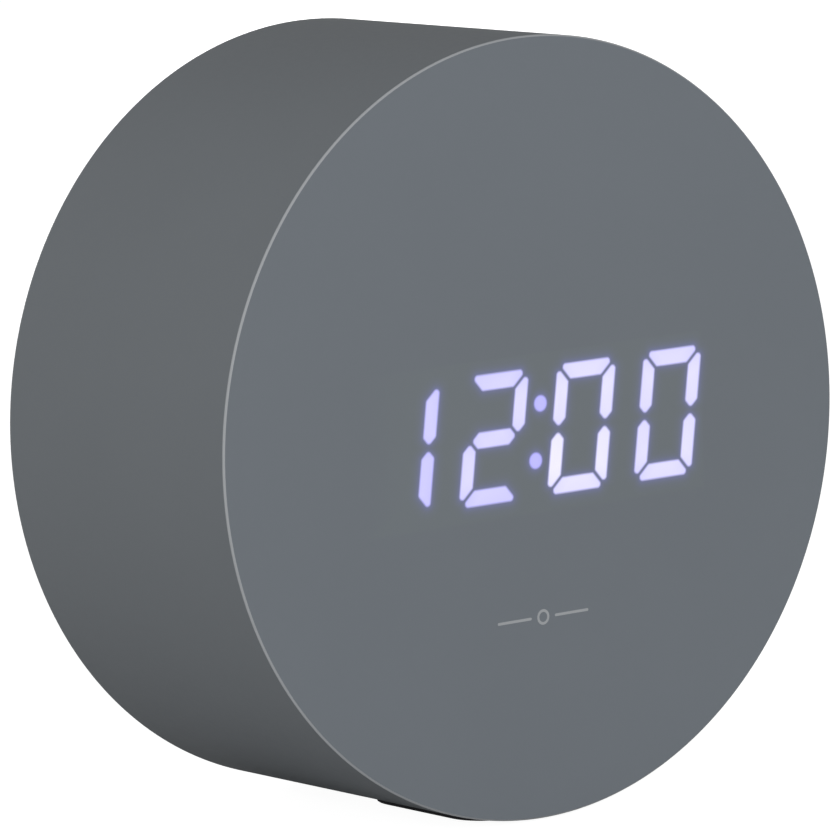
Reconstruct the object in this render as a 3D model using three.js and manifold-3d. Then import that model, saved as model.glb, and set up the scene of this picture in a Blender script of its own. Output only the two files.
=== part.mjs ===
// A digital alarm clock shaped as a short drum that stands on edge: a moulded cup with a printed
// film over its front, a four-digit LED display behind the film, and a rear cover that carries the
// control board, the buttons and the battery bay.
//
// Units are millimetres. X runs to the right as one faces the clock, Y runs from the front to the
// back and Z is up. Parts are drawn about the drum's own axis, and the finished clock is lifted so
// that its feet stand on Z = 0.

import * as THREE from "three";
import { mergeVertices } from "three/addons/utils/BufferGeometryUtils.js";
import Module from "manifold-3d";

const wasm = await Module();
wasm.setup();

// ---------------------------------------------------------------- driving dimensions

const DRUM_RADIUS = 60;
const DRUM_DEPTH = 54;
const ROUND_SIDES = 80;

const FRONT_Y = -DRUM_DEPTH / 2;
const REAR_Y = DRUM_DEPTH / 2;

const SHELL = {
  frontWall: 1.5,
  wall: 3,
  rimWall: 2.2, // the wall is thinner behind the ledge that carries the rear cover
  rimBevel: 0.35,
  innerChamfer: 1,
};
const FILM = { thickness: 0.5, bevel: 0.25 };
const WINDOW = { width: 68, height: 25.6 };

const COVER = { thickness: 2.2, recess: 1, gap: 0.3, ledgeGap: 0.1, bevel: 0.4 };
const COVER_REAR_Y = REAR_Y - COVER.recess;
const COVER_FRONT_Y = COVER_REAR_Y - COVER.thickness;

const FOOT = { proud: 0.5, sunk: 1.3, gap: 0.15 };
const FEET = {
  front_foot: { width: 19, length: 30, corner: 7, centreY: -7 },
  rear_foot: { width: 14, length: 9, corner: 4, centreY: 17 },
};

// A seven-segment digit, drawn upright and then leaned to the right.
const DIGIT = {
  width: 11.8,
  height: 19.9,
  stroke: 2.5,
  gap: 0.45,
  corner: 1.3,
  lean: 0.144, // sideways shift for each millimetre of height
  pitch: 17.36,
  drop: 0.4, // the display's centre is this far below the drum's axis
};
const COLON = { radius: 1.27, spacing: 8.67 };
const LENS_CLEARANCE = 0.12;

const SHELL_FRONT_Y = FRONT_Y + FILM.thickness;
const SHELL_INNER_Y = SHELL_FRONT_Y + SHELL.frontWall;
const REFLECTOR = { frontY: SHELL_FRONT_Y + 0.2, rearY: -20.2, gap: 0.4 };
const LENS_WEB = { rearY: -19, gap: 0.1, width: 13.2, colonWidth: 1.8, height: 22.5 };
const DISPLAY_BOARD = { frontY: -18.6, thickness: 1.6, width: 80, height: 32, corner: 2 };
const DISPLAY_POST = { x: 37, z: 12, radius: 2.6, pilot: 0.9 };
const LIGHT_CHIP = { width: 1.6, height: 1, proud: 0.3 };

const MAIN_BOARD = { rearY: 18.6, thickness: 1.6, halfWidth: 38, low: 5, high: 39, corner: 3 };
const MAIN_BOARD_FRONT_Y = MAIN_BOARD.rearY - MAIN_BOARD.thickness;
const BOARD_POST = { x: 34.5, low: 9, high: 35, radius: 2.3, pilot: 1 };
const POST_ROOF = 0.6; // solid plastic between a post's pilot hole and the cover's plate
const BOARD_HOLE = 1.2; // radius of the screw holes in both boards
const CHIP = { x: -12, z: 27, size: 10, height: 1.6 };
const CRYSTAL = { x: 0, z: 27, width: 4.2, length: 10.5, height: 3.4, corner: 2 };
const SENSOR = { x: 15, z: 30, radius: 2.2, length: 9, lift: 0.1 };

const COVER_BOSS = { x: 43.3, z: 25, radius: 3.6, gap: 0.2, pilot: 1.2, pilotDepth: 12 };
const BOSS_RIB = { length: 7.5, thickness: 1.6, setback: 2 };
const SCREW_SEAT = { radius: 3.2, depth: 1.3, hole: 1.7 };

const COVER_SCREW = { headRadius: 2.7, headHeight: 1.2, shankRadius: 1.1, shankLength: 9 };
const DISPLAY_SCREW = { headRadius: 2, headHeight: 1.1, shankRadius: 0.75, shankLength: 5.5 };
const BOARD_SCREW = { headRadius: 2, headHeight: 1.1, shankRadius: 0.85, shankLength: 5 };

const BUTTON = {
  row: 14,
  spacing: 16,
  capRadius: 4,
  hole: 4.35,
  proud: 0.8,
  flangeRadius: 4.9,
  flangeThickness: 0.6,
  edge: 0.4,
  dishRadius: 2.8,
  dishDepth: 0.25,
};
const TACT = {
  size: 6,
  height: 3.5,
  plungerRadius: 1.7,
  plungerProud: 0.8,
  plungerSunk: 0.8,
  wellDepth: 1.4,
  wellGap: 0.15,
};

const ALARM_SWITCH = { x: 26, z: 31, width: 9, height: 4, depth: 3.4, travel: 3 };
const ALARM_SLOT = { width: 7, height: 3.4, corner: 0.6 };
const ALARM_CHANNEL = { halfWidth: 3.1, halfHeight: 0.9, floor: 1.6 };
const ALARM_STEM = { halfWidth: 1.3, halfHeight: 0.7, from: 1.9, to: 5 };
const ALARM_KNOB = { halfWidth: 1.6, halfHeight: 1.35, lift: 0.4, proud: 0.8 };
const ALARM_GROOVE = { spacing: 0.8, halfWidth: 0.18, depth: 0.35 };

const USB = { x: -26, z: 31, width: 8.94, height: 3.26, wall: 0.3, recess: 0.3, floor: 0.6 };
const USB_OPENING = { margin: 0.8, corner: 2 };
const USB_TONGUE = { halfWidth: 3.3, halfHeight: 0.35, lift: 0.1, setback: 0.9 };
const BUZZER = { x: 0, z: 32, radius: 6, height: 4.4, mouthRadius: 1.2, mouthDepth: 1.4 };
const GRILLE = { hole: 0.8, ring: 2.9 };

// Three AAA cells lie side by side, one above another, with their poles turned in turn.
const CELL = { radius: 5.25, length: 44.5, nubRadius: 1.9, nubLength: 1.2, pitch: 11.5 };
const CELL_EDGE = { base: 0.4, shoulder: 0.6 };
const BAY = { centreZ: -20, width: 51, height: 35.8, wall: 2.4, floorY: 12.4 };
const CRADLE = { thickness: 1, endGap: 1.6, drop: 2.8 };
const DOOR = { width: 53.4, height: 37, thickness: 2, gap: 0.3, corner: 1.2, rest: 0.1 };
const DOOR_FRONT_Y = COVER_REAR_Y - DOOR.thickness;
const DOOR_TAB = { x: 15, width: 6, reach: 1.8, root: 2.6, neck: 1.2, frontY: 22.6, rearY: 23.5 };
const TAB_SLOT = { sideGap: 0.5, frontY: 21.6, below: 4, above: 2.4 };
const TONGUE_SLOT = { x: 7, width: 0.8, low: 1.6, high: 9 };
const FINGER_NOTCH = { halfWidth: 5, low: 2, high: 4.2, depth: 0.8 };
const GRIP = { halfWidth: 5, height: 0.6, depth: 0.4, heights: [5.6, 7, 8.4] };
const CELL_DOOR_GAP = 0.4;
const CELL_Y = DOOR_FRONT_Y - CELL_DOOR_GAP - CELL.radius;
const CONTACT_GAP = 0.1; // between a contact and the bay's wall, and between it and a cell
const CONTACT_X = BAY.width / 2 - CONTACT_GAP;
const SHEET = { thickness: 0.4, halfWidth: 4.2, halfHeight: 4 };
const POLE_BUTTON = { topRadius: 1.6, baseRadius: 2.2, height: 1, sunk: 0.3 };
const COIL = {
  wireRadius: 0.38,
  baseRadius: 3.7,
  tipRadius: 2.4,
  turns: 2.5,
  start: 0.5, // how far its first turn's centre line lies inside the contact's outer face
  reach: 4,
};
const SOLDER_TAG = { halfWidth: 1, halfHeight: 0.2, reach: 1.6, slotGap: 0.3 };

const HEADER = { halfWidth: 8, depth: 5, height: 5 };
const DISPLAY_HEADER_Z = 2;
const BOARD_HEADER_Z = 9;
const RIBBON = { halfWidth: 6.35, thickness: 1, gap: 0.1, pull: 16, steps: 14 };
const LEAD = { radius: 0.6, steps: 18, tagGap: 1, boardGap: 0.3 };

// How far a cutting solid reaches beyond the surface it cuts, and an added one below it.
const OVERCUT = 1;
const ROOT = 0.5;
const HAIR = 0.01; // keeps a straight piece between two rounded corners

// ---------------------------------------------------------------- materials

const paint = (color, roughness, metalness = 0) =>
  new THREE.MeshStandardMaterial({ color, roughness, metalness });

const MATERIAL = {
  greyShell: paint(0x6c7278, 0.55),
  greyFilm: paint(0x70767d, 0.5),
  greyCover: paint(0x5c6166, 0.6),
  greyButton: paint(0x7c8288, 0.5),
  rubber: paint(0x2a2b2d, 0.9),
  screwSteel: paint(0x9a9c9f, 0.35, 1),
  whiteReflector: paint(0xe8e8ea, 0.5),
  litLens: paint(0xe6e2ff, 0.3),
  greenBoard: paint(0x1f5a3c, 0.45),
  blackPlastic: paint(0x17181a, 0.5),
  brightMetal: paint(0xc9cacc, 0.25, 1),
  cellWrap: paint(0x3f6f9c, 0.35),
  ribbonGrey: paint(0x8f9296, 0.6),
  redWire: paint(0xa82420, 0.5),
  blackWire: paint(0x1c1c1e, 0.5),
};

// ---------------------------------------------------------------- solid helpers

// A closed three.js geometry as a manifold-3d solid.
function toSolid(geometry) {
  const flat = geometry.index ? geometry.toNonIndexed() : geometry;
  const bare = new THREE.BufferGeometry();
  bare.setAttribute("position", flat.getAttribute("position"));
  const merged = mergeVertices(bare, 1e-4);
  const mesh = new wasm.Mesh({
    numProp: 3,
    vertProperties: merged.attributes.position.array,
    triVerts: new Uint32Array(merged.index.array),
  });
  return new wasm.Manifold(mesh);
}

function toGeometry(solid) {
  const mesh = solid.getMesh();
  const positions = new Float32Array(mesh.numVert * 3);
  for (let i = 0; i < mesh.numVert; i++) {
    const start = i * mesh.numProp;
    positions.set(mesh.vertProperties.subarray(start, start + 3), i * 3);
  }
  const geometry = new THREE.BufferGeometry();
  geometry.setAttribute("position", new THREE.BufferAttribute(positions, 3));
  geometry.setIndex(new THREE.BufferAttribute(mesh.triVerts, 1));
  return geometry;
}

function join(first, ...others) {
  return toGeometry(others.reduce((sum, piece) => sum.add(toSolid(piece)), toSolid(first)));
}

function cut(body, ...tools) {
  return toGeometry(tools.reduce((rest, tool) => rest.subtract(toSolid(tool)), toSolid(body)));
}

// A shape drawn in the XZ plane, made solid from depth y0 back to depth y1.
function plate(shape, y0, y1, curveSegments = 12) {
  const options = { depth: y1 - y0, bevelEnabled: false, curveSegments };
  return new THREE.ExtrudeGeometry(shape, options).rotateX(Math.PI / 2).translate(0, y1, 0);
}

function box(x0, x1, y0, y1, z0, z1) {
  const geometry = new THREE.BoxGeometry(x1 - x0, y1 - y0, z1 - z0);
  return geometry.translate((x0 + x1) / 2, (y0 + y1) / 2, (z0 + z1) / 2);
}

// A rod along Y at (x, z).
function rod(x, z, radius, y0, y1, sides = 24) {
  const geometry = new THREE.CylinderGeometry(radius, radius, y1 - y0, sides);
  return geometry.translate(x, (y0 + y1) / 2, z);
}

// A profile of [radius, depth] pairs, given from the front to the back on the outside, turned about Y.
function turned(profile, sides) {
  const points = profile.map(([radius, y]) => new THREE.Vector2(radius, y));
  return new THREE.LatheGeometry(points, sides);
}

function roundedRectangle(x, z, width, height, radius) {
  const shape = new THREE.Shape();
  const [left, right] = [x - width / 2, x + width / 2];
  const [low, high] = [z - height / 2, z + height / 2];
  shape.moveTo(left + radius, low);
  shape.lineTo(right - radius, low);
  shape.absarc(right - radius, low + radius, radius, -Math.PI / 2, 0);
  shape.lineTo(right, high - radius);
  shape.absarc(right - radius, high - radius, radius, 0, Math.PI / 2);
  shape.lineTo(left + radius, high);
  shape.absarc(left + radius, high - radius, radius, Math.PI / 2, Math.PI);
  shape.lineTo(left, low + radius);
  shape.absarc(left + radius, low + radius, radius, Math.PI, 1.5 * Math.PI);
  return shape;
}

function polygon(points) {
  return new THREE.Shape(points.map(([x, z]) => new THREE.Vector2(x, z)));
}

const clock = new THREE.Group();
clock.position.z = DRUM_RADIUS + FOOT.proud;

function add(name, geometry, material) {
  const mesh = new THREE.Mesh(geometry, material);
  mesh.name = name;
  clock.add(mesh);
  return mesh;
}

const fourCorners = (x, z) => [
  [x, z],
  [-x, z],
  [x, -z],
  [-x, -z],
];

// ---------------------------------------------------------------- screws

// A pan-head screw along Y with a cross recess. Its head's flat underside lies at seatY, and it
// points towards the front when direction is -1.
function panScrew(x, z, seatY, direction, size) {
  const { headRadius, headHeight, shankRadius, shankLength } = size;
  const sides = 12;
  const shank = turned(
    [
      [0, -shankLength],
      [shankRadius, -shankLength + shankRadius],
      [shankRadius, 0],
      [headRadius, 0],
      [headRadius, headHeight * 0.6],
      [headRadius * 0.72, headHeight],
      [0, headHeight],
    ],
    sides,
  );
  const slot = headRadius * 0.52;
  const half = headRadius * 0.13;
  const depth = headHeight * 0.55;
  const screw = cut(
    shank,
    box(-slot, slot, headHeight - depth, headHeight + OVERCUT, -half, half),
    box(-half, half, headHeight - depth, headHeight + OVERCUT, -slot, slot),
  );
  if (direction > 0) screw.rotateX(Math.PI);
  return screw.translate(x, seatY, z);
}

// ---------------------------------------------------------------- casing

function frontShell() {
  const outer = DRUM_RADIUS;
  const inner = outer - SHELL.wall;
  const rim = outer - SHELL.rimWall;
  const ledgeY = COVER_FRONT_Y - COVER.ledgeGap;
  const cup = turned(
    [
      [0, SHELL_FRONT_Y],
      [outer, SHELL_FRONT_Y],
      [outer, REAR_Y - SHELL.rimBevel],
      [outer - SHELL.rimBevel, REAR_Y],
      [rim, REAR_Y],
      [rim, ledgeY],
      [inner, ledgeY],
      [inner, SHELL_INNER_Y + SHELL.innerChamfer],
      [inner - SHELL.innerChamfer, SHELL_INNER_Y],
      [0, SHELL_INNER_Y],
    ],
    ROUND_SIDES,
  );

  const bossTopY = COVER_FRONT_Y - COVER_BOSS.gap;
  const additions = [];
  const cuts = [];
  for (const [x, z] of fourCorners(COVER_BOSS.x, COVER_BOSS.z)) {
    const boss = rod(x, z, COVER_BOSS.radius, SHELL_INNER_Y - ROOT, bossTopY, 20);
    const half = BOSS_RIB.thickness / 2;
    const ribTopY = bossTopY - BOSS_RIB.setback;
    const rib = box(0, BOSS_RIB.length, SHELL_INNER_Y - ROOT, ribTopY, -half, half);
    rib.rotateY(-Math.atan2(z, x)).translate(x, 0, z);
    additions.push(boss, rib);
    const pilotY = bossTopY - COVER_BOSS.pilotDepth;
    cuts.push(rod(x, z, COVER_BOSS.pilot, pilotY, bossTopY + OVERCUT, 12));
  }
  for (const [x, z] of fourCorners(DISPLAY_POST.x, DISPLAY_POST.z)) {
    const centreZ = z - DIGIT.drop;
    const { radius, pilot } = DISPLAY_POST;
    additions.push(rod(x, centreZ, radius, SHELL_INNER_Y - ROOT, DISPLAY_BOARD.frontY, 16));
    cuts.push(rod(x, centreZ, pilot, SHELL_INNER_Y, DISPLAY_BOARD.frontY + OVERCUT, 12));
  }
  const halfWidth = WINDOW.width / 2;
  const halfHeight = WINDOW.height / 2;
  cuts.push(
    box(
      -halfWidth,
      halfWidth,
      SHELL_FRONT_Y - OVERCUT,
      SHELL_INNER_Y + OVERCUT,
      -halfHeight - DIGIT.drop,
      halfHeight - DIGIT.drop,
    ),
  );
  for (const foot of Object.values(FEET)) {
    const height = FOOT.sunk + FOOT.gap + OVERCUT;
    cuts.push(footBlock(foot, FOOT.gap, height).translate(0, 0, -DRUM_RADIUS - OVERCUT));
  }
  add("front_shell", cut(join(cup, ...additions), ...cuts), MATERIAL.greyShell);
}

// The printed film that covers the whole front.
function frontFilm() {
  const film = turned(
    [
      [0, FRONT_Y],
      [DRUM_RADIUS - FILM.bevel, FRONT_Y],
      [DRUM_RADIUS, FRONT_Y + FILM.bevel],
      [DRUM_RADIUS, SHELL_FRONT_Y],
      [0, SHELL_FRONT_Y],
    ],
    ROUND_SIDES,
  );
  add("front_film", film, MATERIAL.greyFilm);
}

// An upright block with a foot's outline, grown all round by margin, that stands on Z = 0.
function footBlock({ width, length, corner, centreY }, margin, height) {
  const shape = roundedRectangle(
    0,
    centreY,
    width + 2 * margin,
    length + 2 * margin,
    corner + margin,
  );
  return new THREE.ExtrudeGeometry(shape, {
    depth: height,
    bevelEnabled: false,
    curveSegments: 6,
  });
}

function feet() {
  for (const [name, foot] of Object.entries(FEET)) {
    const pad = footBlock(foot, 0, FOOT.proud + FOOT.sunk);
    add(name, pad.translate(0, 0, -DRUM_RADIUS - FOOT.proud), MATERIAL.rubber);
  }
}

// ---------------------------------------------------------------- rear cover and battery door

function grilleHoles() {
  const holes = [[0, 0]];
  for (const ring of [1, 2]) {
    const count = 6 * ring;
    for (let i = 0; i < count; i++) {
      const angle = (2 * Math.PI * i) / count;
      const radius = GRILLE.ring * ring;
      holes.push([radius * Math.cos(angle), radius * Math.sin(angle)]);
    }
  }
  return holes.map(([x, z]) => [BUZZER.x + x, BUZZER.z + z]);
}

const buttonPlaces = [-1.5, -0.5, 0.5, 1.5].map((step) => step * BUTTON.spacing);
const boardPosts = [-BOARD_POST.x, BOARD_POST.x].flatMap((x) => [
  [x, BOARD_POST.low],
  [x, BOARD_POST.high],
]);

function rearCover() {
  const radius = DRUM_RADIUS - SHELL.rimWall - COVER.gap;
  const disc = turned(
    [
      [0, COVER_FRONT_Y],
      [radius, COVER_FRONT_Y],
      [radius, COVER_REAR_Y - COVER.bevel],
      [radius - COVER.bevel, COVER_REAR_Y],
      [0, COVER_REAR_Y],
    ],
    ROUND_SIDES,
  );
  const bayOuter = box(
    -BAY.width / 2 - BAY.wall,
    BAY.width / 2 + BAY.wall,
    BAY.floorY - BAY.wall,
    COVER_FRONT_Y + ROOT,
    BAY.centreZ - BAY.height / 2 - BAY.wall,
    BAY.centreZ + BAY.height / 2 + BAY.wall,
  );
  const additions = [bayOuter];
  const cuts = [];

  const bayInner = box(
    -BAY.width / 2,
    BAY.width / 2,
    BAY.floorY,
    COVER_REAR_Y + OVERCUT,
    BAY.centreZ - BAY.height / 2,
    BAY.centreZ + BAY.height / 2,
  );
  const seatOutline = roundedRectangle(
    0,
    BAY.centreZ,
    DOOR.width + 2 * DOOR.gap,
    DOOR.height + 2 * DOOR.gap,
    DOOR.corner + DOOR.gap,
  );
  const doorSeat = plate(seatOutline, DOOR_FRONT_Y - DOOR.rest, COVER_REAR_Y + OVERCUT, 4);
  cuts.push(bayInner, doorSeat);
  const hingeZ = BAY.centreZ + DOOR.height / 2;
  for (const side of [-1, 1]) {
    const half = DOOR_TAB.width / 2 + TAB_SLOT.sideGap;
    const x = side * DOOR_TAB.x;
    const [low, high] = [hingeZ - TAB_SLOT.below, hingeZ + TAB_SLOT.above];
    cuts.push(box(x - half, x + half, TAB_SLOT.frontY, DOOR_FRONT_Y, low, high));
  }
  const slotHalfWidth = SOLDER_TAG.halfWidth + SOLDER_TAG.slotGap;
  const slotHalfHeight = SOLDER_TAG.halfHeight + SOLDER_TAG.slotGap;
  for (const [x, z] of contactSlots()) {
    const [frontY, rearY] = [CELL_Y - slotHalfWidth, CELL_Y + slotHalfWidth];
    const half = BAY.wall / 2 + OVERCUT;
    cuts.push(box(x - half, x + half, frontY, rearY, z - slotHalfHeight, z + slotHalfHeight));
  }
  const [underY, aboveY] = [COVER_FRONT_Y - OVERCUT, COVER_REAR_Y + OVERCUT];
  for (const [x, z] of fourCorners(COVER_BOSS.x, COVER_BOSS.z)) {
    cuts.push(rod(x, z, SCREW_SEAT.hole, underY, aboveY, 16));
    cuts.push(rod(x, z, SCREW_SEAT.radius, COVER_REAR_Y - SCREW_SEAT.depth, aboveY, 24));
  }
  for (const [x, z] of boardPosts) {
    const { radius: postRadius, pilot } = BOARD_POST;
    additions.push(rod(x, z, postRadius, MAIN_BOARD.rearY, COVER_FRONT_Y + ROOT, 16));
    cuts.push(rod(x, z, pilot, MAIN_BOARD.rearY - OVERCUT, COVER_FRONT_Y - POST_ROOF, 12));
  }
  for (const x of buttonPlaces) {
    cuts.push(rod(x, BUTTON.row, BUTTON.hole, underY, aboveY, 24));
  }
  for (const [x, z] of grilleHoles()) {
    cuts.push(rod(x, z, GRILLE.hole, underY, aboveY, 8));
  }
  const usbOpening = roundedRectangle(
    USB.x,
    USB.z,
    USB.width + USB_OPENING.margin,
    USB.height + USB_OPENING.margin,
    USB_OPENING.corner,
  );
  cuts.push(plate(usbOpening, underY, aboveY, 6));
  const { width, height, corner } = ALARM_SLOT;
  const switchOpening = roundedRectangle(ALARM_SWITCH.x, ALARM_SWITCH.z, width, height, corner);
  cuts.push(plate(switchOpening, underY, aboveY, 3));

  const shell = cut(join(disc, ...additions), ...cuts);
  const cradles = [-0.5, 0.5].map((step) => {
    const z = BAY.centreZ + step * CELL.pitch;
    const end = BAY.width / 2 - CRADLE.endGap;
    const half = CRADLE.thickness / 2;
    return box(-end, end, BAY.floorY - ROOT, CELL_Y - CRADLE.drop, z - half, z + half);
  });
  add("rear_cover", join(shell, ...cradles), MATERIAL.greyCover);
}

// The door hooks its two tabs under the cover above the bay and swings up about its top edge.
function batteryDoor() {
  const panel = plate(
    roundedRectangle(0, BAY.centreZ, DOOR.width, DOOR.height, DOOR.corner),
    DOOR_FRONT_Y,
    COVER_REAR_Y,
    4,
  );
  const top = BAY.centreZ + DOOR.height / 2;
  const tabs = [-1, 1].map((side) => {
    const x = side * DOOR_TAB.x;
    const half = DOOR_TAB.width / 2;
    const { frontY, rearY, root, neck, reach } = DOOR_TAB;
    return join(
      box(x - half, x + half, frontY, rearY, top - root, top + reach),
      box(x - half, x + half, frontY, DOOR_FRONT_Y + ROOT, top - root, top - neck),
    );
  });
  const bottom = BAY.centreZ - DOOR.height / 2;
  const aboveY = COVER_REAR_Y + OVERCUT;
  const tongueSlots = [-1, 1].map((side) => {
    const x = side * TONGUE_SLOT.x;
    const half = TONGUE_SLOT.width / 2;
    const [low, high] = [bottom + TONGUE_SLOT.low, bottom + TONGUE_SLOT.high];
    return box(x - half, x + half, DOOR_FRONT_Y - OVERCUT, aboveY, low, high);
  });
  const notch = FINGER_NOTCH;
  const fingerNotch = box(
    -notch.halfWidth,
    notch.halfWidth,
    COVER_REAR_Y - notch.depth,
    aboveY,
    bottom + notch.low,
    bottom + notch.high,
  );
  const grips = GRIP.heights.map((height) => {
    const [low, high] = [bottom + height - GRIP.height / 2, bottom + height + GRIP.height / 2];
    return box(-GRIP.halfWidth, GRIP.halfWidth, COVER_REAR_Y - GRIP.depth, aboveY, low, high);
  });
  const door = cut(join(panel, ...tabs), ...tongueSlots, fingerNotch, ...grips);
  add("battery_door", door, MATERIAL.greyCover);
}

function coverScrews() {
  const seatY = COVER_REAR_Y - SCREW_SEAT.depth;
  fourCorners(COVER_BOSS.x, COVER_BOSS.z).forEach(([x, z], i) => {
    const screw = panScrew(x, z, seatY, -1, COVER_SCREW);
    add("cover_screw_" + (i + 1), screw, MATERIAL.screwSteel);
  });
}

// ---------------------------------------------------------------- display

// The seven bars of a digit as polygons about the digit's centre, each pulled in by inset. Here p
// runs right from the digit's left edge and q runs down from its top edge.
function segmentOutlines(inset) {
  const { width, height, stroke, gap, corner, lean } = DIGIT;
  const k = gap / Math.SQRT2 + inset * Math.SQRT2;
  const c = corner + inset * Math.SQRT2;
  const near = inset;
  const far = stroke - inset;
  const half = stroke / 2 - inset;
  const middle = height / 2;
  const bevel = [(c + k) / 2, (c - k) / 2];
  const top = [
    [c - near, near],
    [width - c + near, near],
    [width - bevel[0], bevel[1]],
    [width - k - far, far],
    [k + far, far],
    bevel,
  ];
  const upperLeft = [
    [near, c - near],
    [bevel[1], bevel[0]],
    [far, k + far],
    [far, middle - k - half],
    [stroke / 2, middle - k],
    [near, middle - k - half],
  ];
  const centre = [
    [stroke / 2 + k, middle],
    [stroke / 2 + k + half, middle - half],
    [width - stroke / 2 - k - half, middle - half],
    [width - stroke / 2 - k, middle],
    [width - stroke / 2 - k - half, middle + half],
    [stroke / 2 + k + half, middle + half],
  ];
  const across = (points) => points.map(([p, q]) => [width - p, q]);
  const below = (points) => points.map(([p, q]) => [p, height - q]);
  const bars = [
    top,
    across(upperLeft),
    across(below(upperLeft)),
    below(top),
    below(upperLeft),
    upperLeft,
    centre,
  ];
  return bars.map((points) =>
    points.map(([p, q]) => {
      const z = middle - q;
      return [p - width / 2 + lean * z, z];
    }),
  );
}

const digitPlaces = [-1.5, -0.5, 0.5, 1.5].map((step) => step * DIGIT.pitch);

function bars(x, inset, y0, y1) {
  return segmentOutlines(inset).map((points) =>
    plate(polygon(points.map(([px, pz]) => [px + x, pz - DIGIT.drop])), y0, y1),
  );
}

function colonDots(radius, y0, y1) {
  return [-0.5, 0.5].map((step) => {
    const z = step * COLON.spacing;
    return rod(DIGIT.lean * z, z - DIGIT.drop, radius, y0, y1, 16);
  });
}

// The white block that keeps each bar's light to itself.
function displayReflector() {
  const block = box(
    -WINDOW.width / 2 + REFLECTOR.gap,
    WINDOW.width / 2 - REFLECTOR.gap,
    REFLECTOR.frontY,
    REFLECTOR.rearY,
    -WINDOW.height / 2 + REFLECTOR.gap - DIGIT.drop,
    WINDOW.height / 2 - REFLECTOR.gap - DIGIT.drop,
  );
  const wells = digitPlaces.flatMap((x) =>
    bars(x, 0, REFLECTOR.frontY - OVERCUT, REFLECTOR.rearY + OVERCUT),
  );
  const dots = colonDots(COLON.radius, REFLECTOR.frontY - OVERCUT, REFLECTOR.rearY + OVERCUT);
  add("display_reflector", cut(block, ...wells, ...dots), MATERIAL.whiteReflector);
}

// The thin plate behind a digit's bars, which leans as they do.
function leaningWeb(x, width) {
  const high = LENS_WEB.height / 2;
  const shift = DIGIT.lean * high;
  const outline = polygon([
    [x - width / 2 - shift, -high - DIGIT.drop],
    [x + width / 2 - shift, -high - DIGIT.drop],
    [x + width / 2 + shift, high - DIGIT.drop],
    [x - width / 2 + shift, high - DIGIT.drop],
  ]);
  return plate(outline, REFLECTOR.rearY + LENS_WEB.gap, LENS_WEB.rearY);
}

// One clear moulding for each digit: bars that stand in the reflector's wells, on a thin web.
function digitLenses() {
  const names = ["hour_tens_lens", "hour_units_lens", "minute_tens_lens", "minute_units_lens"];
  digitPlaces.forEach((x, i) => {
    const web = leaningWeb(x, LENS_WEB.width);
    const standing = bars(x, LENS_CLEARANCE, REFLECTOR.frontY, REFLECTOR.rearY + ROOT);
    add(names[i], join(web, ...standing), MATERIAL.litLens);
  });
  const strip = leaningWeb(0, LENS_WEB.colonWidth);
  const dotRadius = COLON.radius - LENS_CLEARANCE;
  const dots = colonDots(dotRadius, REFLECTOR.frontY, REFLECTOR.rearY + ROOT);
  add("colon_lens", join(strip, ...dots), MATERIAL.litLens);
}

// The display's circuit board, with the row of light-emitting chips soldered to its front.
function displayBoard() {
  const { frontY, thickness, width, height, corner } = DISPLAY_BOARD;
  const outline = roundedRectangle(0, -DIGIT.drop, width, height, corner);
  for (const [x, z] of fourCorners(DISPLAY_POST.x, DISPLAY_POST.z)) {
    const hole = new THREE.Path();
    hole.absarc(x, z - DIGIT.drop, BOARD_HOLE, 0, 2 * Math.PI, true);
    outline.holes.push(hole);
  }
  const board = plate(outline, frontY, frontY + thickness, 4);
  const chips = digitPlaces.flatMap((x) =>
    segmentOutlines(0).map((points) => {
      const cx = points.reduce((sum, point) => sum + point[0], 0) / points.length + x;
      const cz = points.reduce((sum, point) => sum + point[1], 0) / points.length - DIGIT.drop;
      const [half, high] = [LIGHT_CHIP.width / 2, LIGHT_CHIP.height / 2];
      const [y0, y1] = [frontY - LIGHT_CHIP.proud, frontY + ROOT];
      return box(cx - half, cx + half, y0, y1, cz - high, cz + high);
    }),
  );
  add("display_board", join(board, ...chips), MATERIAL.greenBoard);

  const seatY = frontY + thickness;
  fourCorners(DISPLAY_POST.x, DISPLAY_POST.z).forEach(([x, z], i) => {
    const screw = panScrew(x, z - DIGIT.drop, seatY, -1, DISPLAY_SCREW);
    add("display_screw_" + (i + 1), screw, MATERIAL.screwSteel);
  });
}

// ---------------------------------------------------------------- control board

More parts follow.
